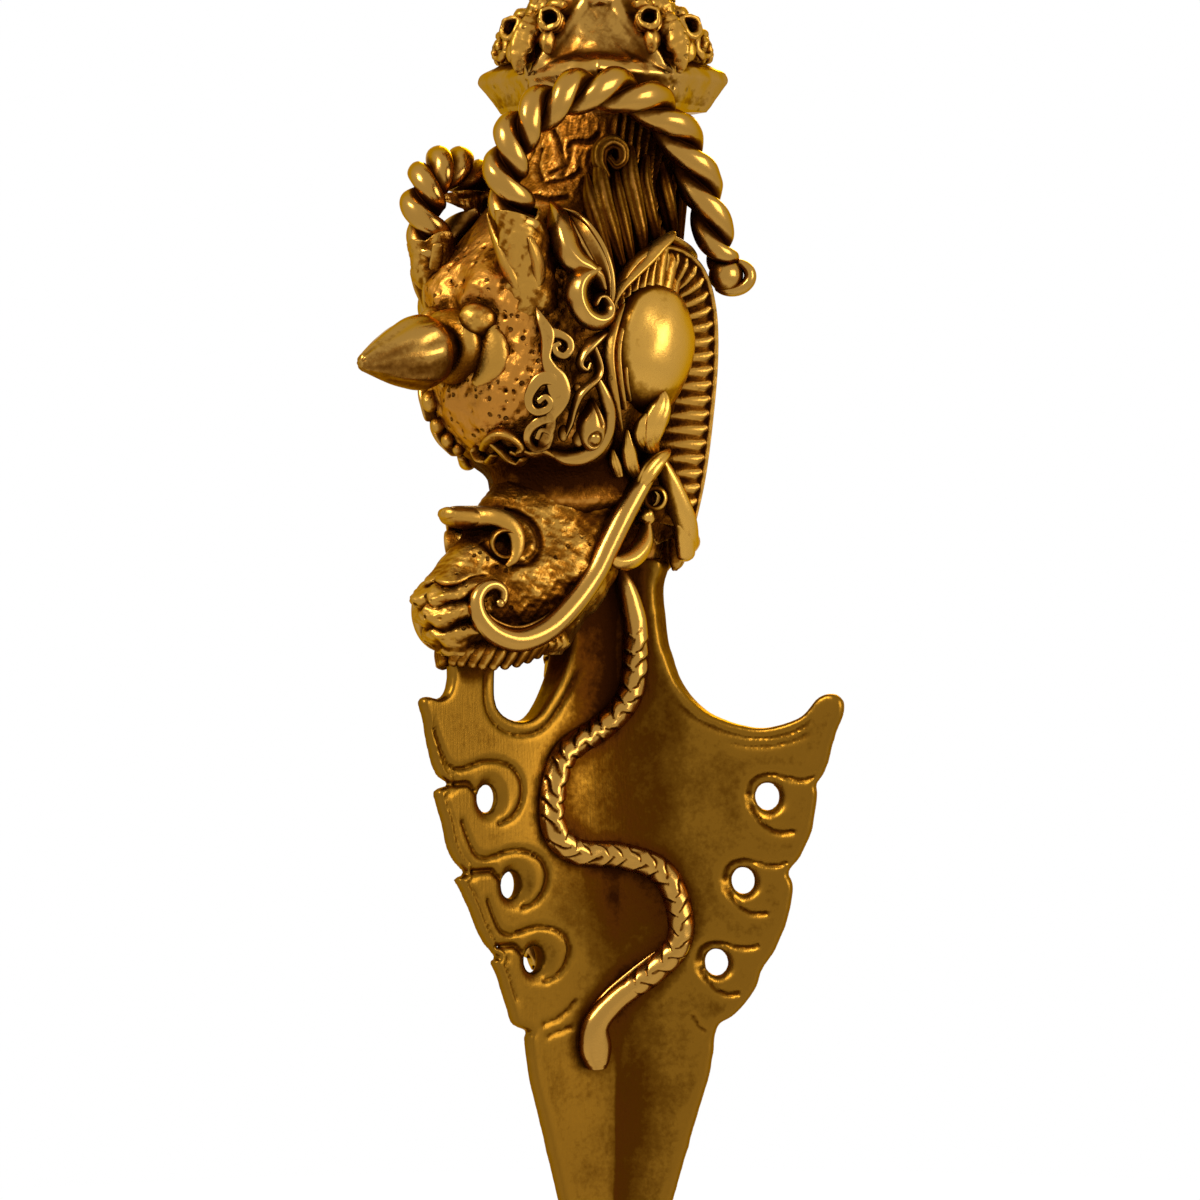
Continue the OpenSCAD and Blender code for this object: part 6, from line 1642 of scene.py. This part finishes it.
def blurred(grid, cells):
    """A box blur of the given half width, twice along each axis, by differences of running sums."""
    for _ in range(2):
        for axis in range(3):
            grid = np.moveaxis(grid, axis, 0)
            padded = np.concatenate([np.zeros((cells + 1,) + grid.shape[1:]), grid,
                                     np.zeros((cells,) + grid.shape[1:])])
            total = np.cumsum(padded, 0)
            grid = (total[2 * cells + 1:] - total[:-2 * cells - 1]) / (2 * cells + 1)
            grid = np.moveaxis(grid, 0, axis)
    return grid


def paint_shade_and_grime(pieces, cell=0.8):
    """Counts metal area in cells, blurs it, and reads it in front of each point: that occlusion is painted
    into the colour as grime and shade.
    """
    data = []
    for piece in pieces:
        mesh = piece.data
        start, normal, relief = relief_of(mesh, 14)
        area = np.empty(len(mesh.polygons))
        mesh.polygons.foreach_get("area", area)
        centre = np.empty(len(mesh.polygons) * 3)
        mesh.polygons.foreach_get("center", centre)
        data.append((mesh, start, normal, relief, area * 1e6, centre.reshape(-1, 3) * 1000))
    low = np.array([min(d[1][:, k].min() for d in data) for k in range(3)]) - 12
    high = np.array([max(d[1][:, k].max() for d in data) for k in range(3)]) + 12
    size = np.ceil((high - low) / cell).astype(int)
    grid = np.zeros(int(np.prod(size)))
    for _, _, _, _, area, centre in data:
        where = np.ravel_multi_index(((centre - low) / cell).astype(int).T, size)
        grid += np.bincount(where, area, len(grid))
    grid = grid.reshape(size) / cell**2
    near, wide = blurred(grid, 2), blurred(grid, 5)
    for mesh, start, normal, relief, _, _ in data:
        def read(field, step):
            """The field's value a step in front of each point, between its eight nearest cells."""
            at = (start + normal * step - low) / cell - 0.5
            first = np.floor(at).astype(int)
            part, total = at - first, 0.0
            for corner in np.ndindex(2, 2, 2):
                weight = np.where(corner, part, 1 - part).prod(1)
                total = total + weight * field[tuple(np.clip(first + corner, 0, size - 1).T)]
            return total
        shade_and_grime = 0.5 * (read(near, 2.2) - 0.12) / 0.25 + 0.5 * (read(wide, 5.0) - 0.12) / 0.3
        # Faces that look down are painted darker, as shade from the light above
        shade_and_grime += 0.25 * np.clip(-normal[:, 2], 0, 1)
        for name, value in (("relief", relief), ("shade_and_grime", np.clip(shade_and_grime, 0, 0.64))):
            layer = mesh.attributes.new(name, "FLOAT", "POINT")
            layer.data.foreach_set("value", value.astype(np.float32))


paint_shade_and_grime(made)
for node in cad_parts.values():
    if not node.hide_render:
        node.data.materials.clear()
        node.data.materials.append(cast)

# Camera: the photograph's side view, from the makara's front right
camera = bpy.data.objects.new("camera", bpy.data.cameras.new("camera"))
bpy.context.collection.objects.link(camera)
camera.data.lens, camera.data.sensor_width = LENS, SENSOR
camera.data.clip_start, camera.data.clip_end = 0.05, 20.0
c, s = cos_sin(AZIMUTH)
back = Vector((s, -c, 0.0))
facing = (-back).to_track_quat("-Z", "Y") @ Matrix.Rotation(math.radians(ROLL), 3, "Z").to_quaternion()
mm_per_px = DISTANCE / (LENS / SENSOR * FRAME_PX)
aside = facing @ Vector((1, 0, 0)) * (AXIS_PX - FRAME_PX / 2) * mm_per_px
camera.location = (back * DISTANCE + Vector((0, 0, TARGET_Z)) - aside) * MM
camera.rotation_mode = "QUATERNION"
camera.rotation_quaternion = facing
bpy.context.scene.camera = camera

# Studio: a pale floor, a bright plain background and three soft lamps
def direct_ray(tree):
    """1 where the eye looks straight, by a mirror or through glass; 0 for light that falls on things."""
    ray = add(tree, "ShaderNodeLightPath").outputs
    either = add(tree, MATH, {"operation": "MAXIMUM"}, i0=ray["Is Camera Ray"], i1=ray["Is Transmission Ray"])
    return add(tree, MATH, {"operation": "MAXIMUM"}, i0=either.outputs[0], i1=ray["Is Glossy Ray"]).outputs[0]


world = bpy.data.worlds.new("studio")
bpy.context.scene.world = world
world.use_nodes = True
tree = world.node_tree
tree.nodes.clear()
plain = add(tree, "ShaderNodeBackground", {"Color": (1, 1, 1, 1), "Strength": 1.0})
dim = add(tree, "ShaderNodeBackground", {"Color": (1, 1, 1, 1), "Strength": 0.4})
both = add(tree, "ShaderNodeMixShader", i0=direct_ray(tree), i1=dim.outputs[0], i2=plain.outputs[0])
add(tree, "ShaderNodeOutputWorld", Surface=both.outputs[0])

# The floor keeps the shadow near the object and runs out into the white background further off
floor_mesh = bpy.data.meshes.new("floor")
floor_mesh.from_pydata([(-8, -8, -0.002), (8, -8, -0.002), (8, 8, -0.002), (-8, 8, -0.002)], [],
                       [(0, 1, 2, 3)])
floor = bpy.data.objects.new("floor", floor_mesh)
bpy.context.collection.objects.link(floor)
paper = bpy.data.materials.new("white_paper_floor")
paper.use_nodes = True
tree = paper.node_tree
sheet = tree.nodes["Principled BSDF"]
sheet.inputs["Base Color"].default_value = linear("#F2F2F0")
sheet.inputs["Roughness"].default_value = 0.8
place = add(tree, "ShaderNodeTexCoord").outputs["Object"]
away = add(tree, "ShaderNodeVectorMath", {"operation": "LENGTH"}, i0=place)
far = add(tree, "ShaderNodeMapRange", {1: 0.12, 2: 0.3, 3: 0.0, 4: 1.0}, i0=away.outputs["Value"])
shown = add(tree, MATH, {"operation": "MULTIPLY"}, i0=far.outputs[0], i1=direct_ray(tree)).outputs[0]
white = add(tree, "ShaderNodeEmission", {"Color": (1, 1, 1, 1), "Strength": 1.0})
fade = add(tree, "ShaderNodeMixShader", i0=shown, i1=sheet.outputs[0], i2=white.outputs[0])
tree.links.new(fade.outputs[0], tree.nodes["Material Output"].inputs["Surface"])
floor_mesh.materials.append(paper)


def lamp(name, place, size, power):
    """A square soft lamp that looks at the middle of the dagger; place is azimuth, height and distance."""
    azimuth, height, distance = place
    c, s = cos_sin(azimuth)
    light = bpy.data.lights.new(name, "AREA")
    light.size, light.energy = size, power
    holder = bpy.data.objects.new(name, light)
    bpy.context.collection.objects.link(holder)
    holder.location = (s * distance, -c * distance, height)
    holder.rotation_euler = (Vector((0, 0, 0.13)) - holder.location).to_track_quat("-Z", "Y").to_euler()


lamp("key", (AZIMUTH - 50, 0.75, 0.8), 0.35, 9.0)
lamp("fill", (AZIMUTH + 60, 0.35, 0.9), 0.5, 5.0)
lamp("rim", (AZIMUTH + 170, 0.6, 0.9), 0.4, 5.0)

bpy.context.scene.view_settings.view_transform = "Standard"
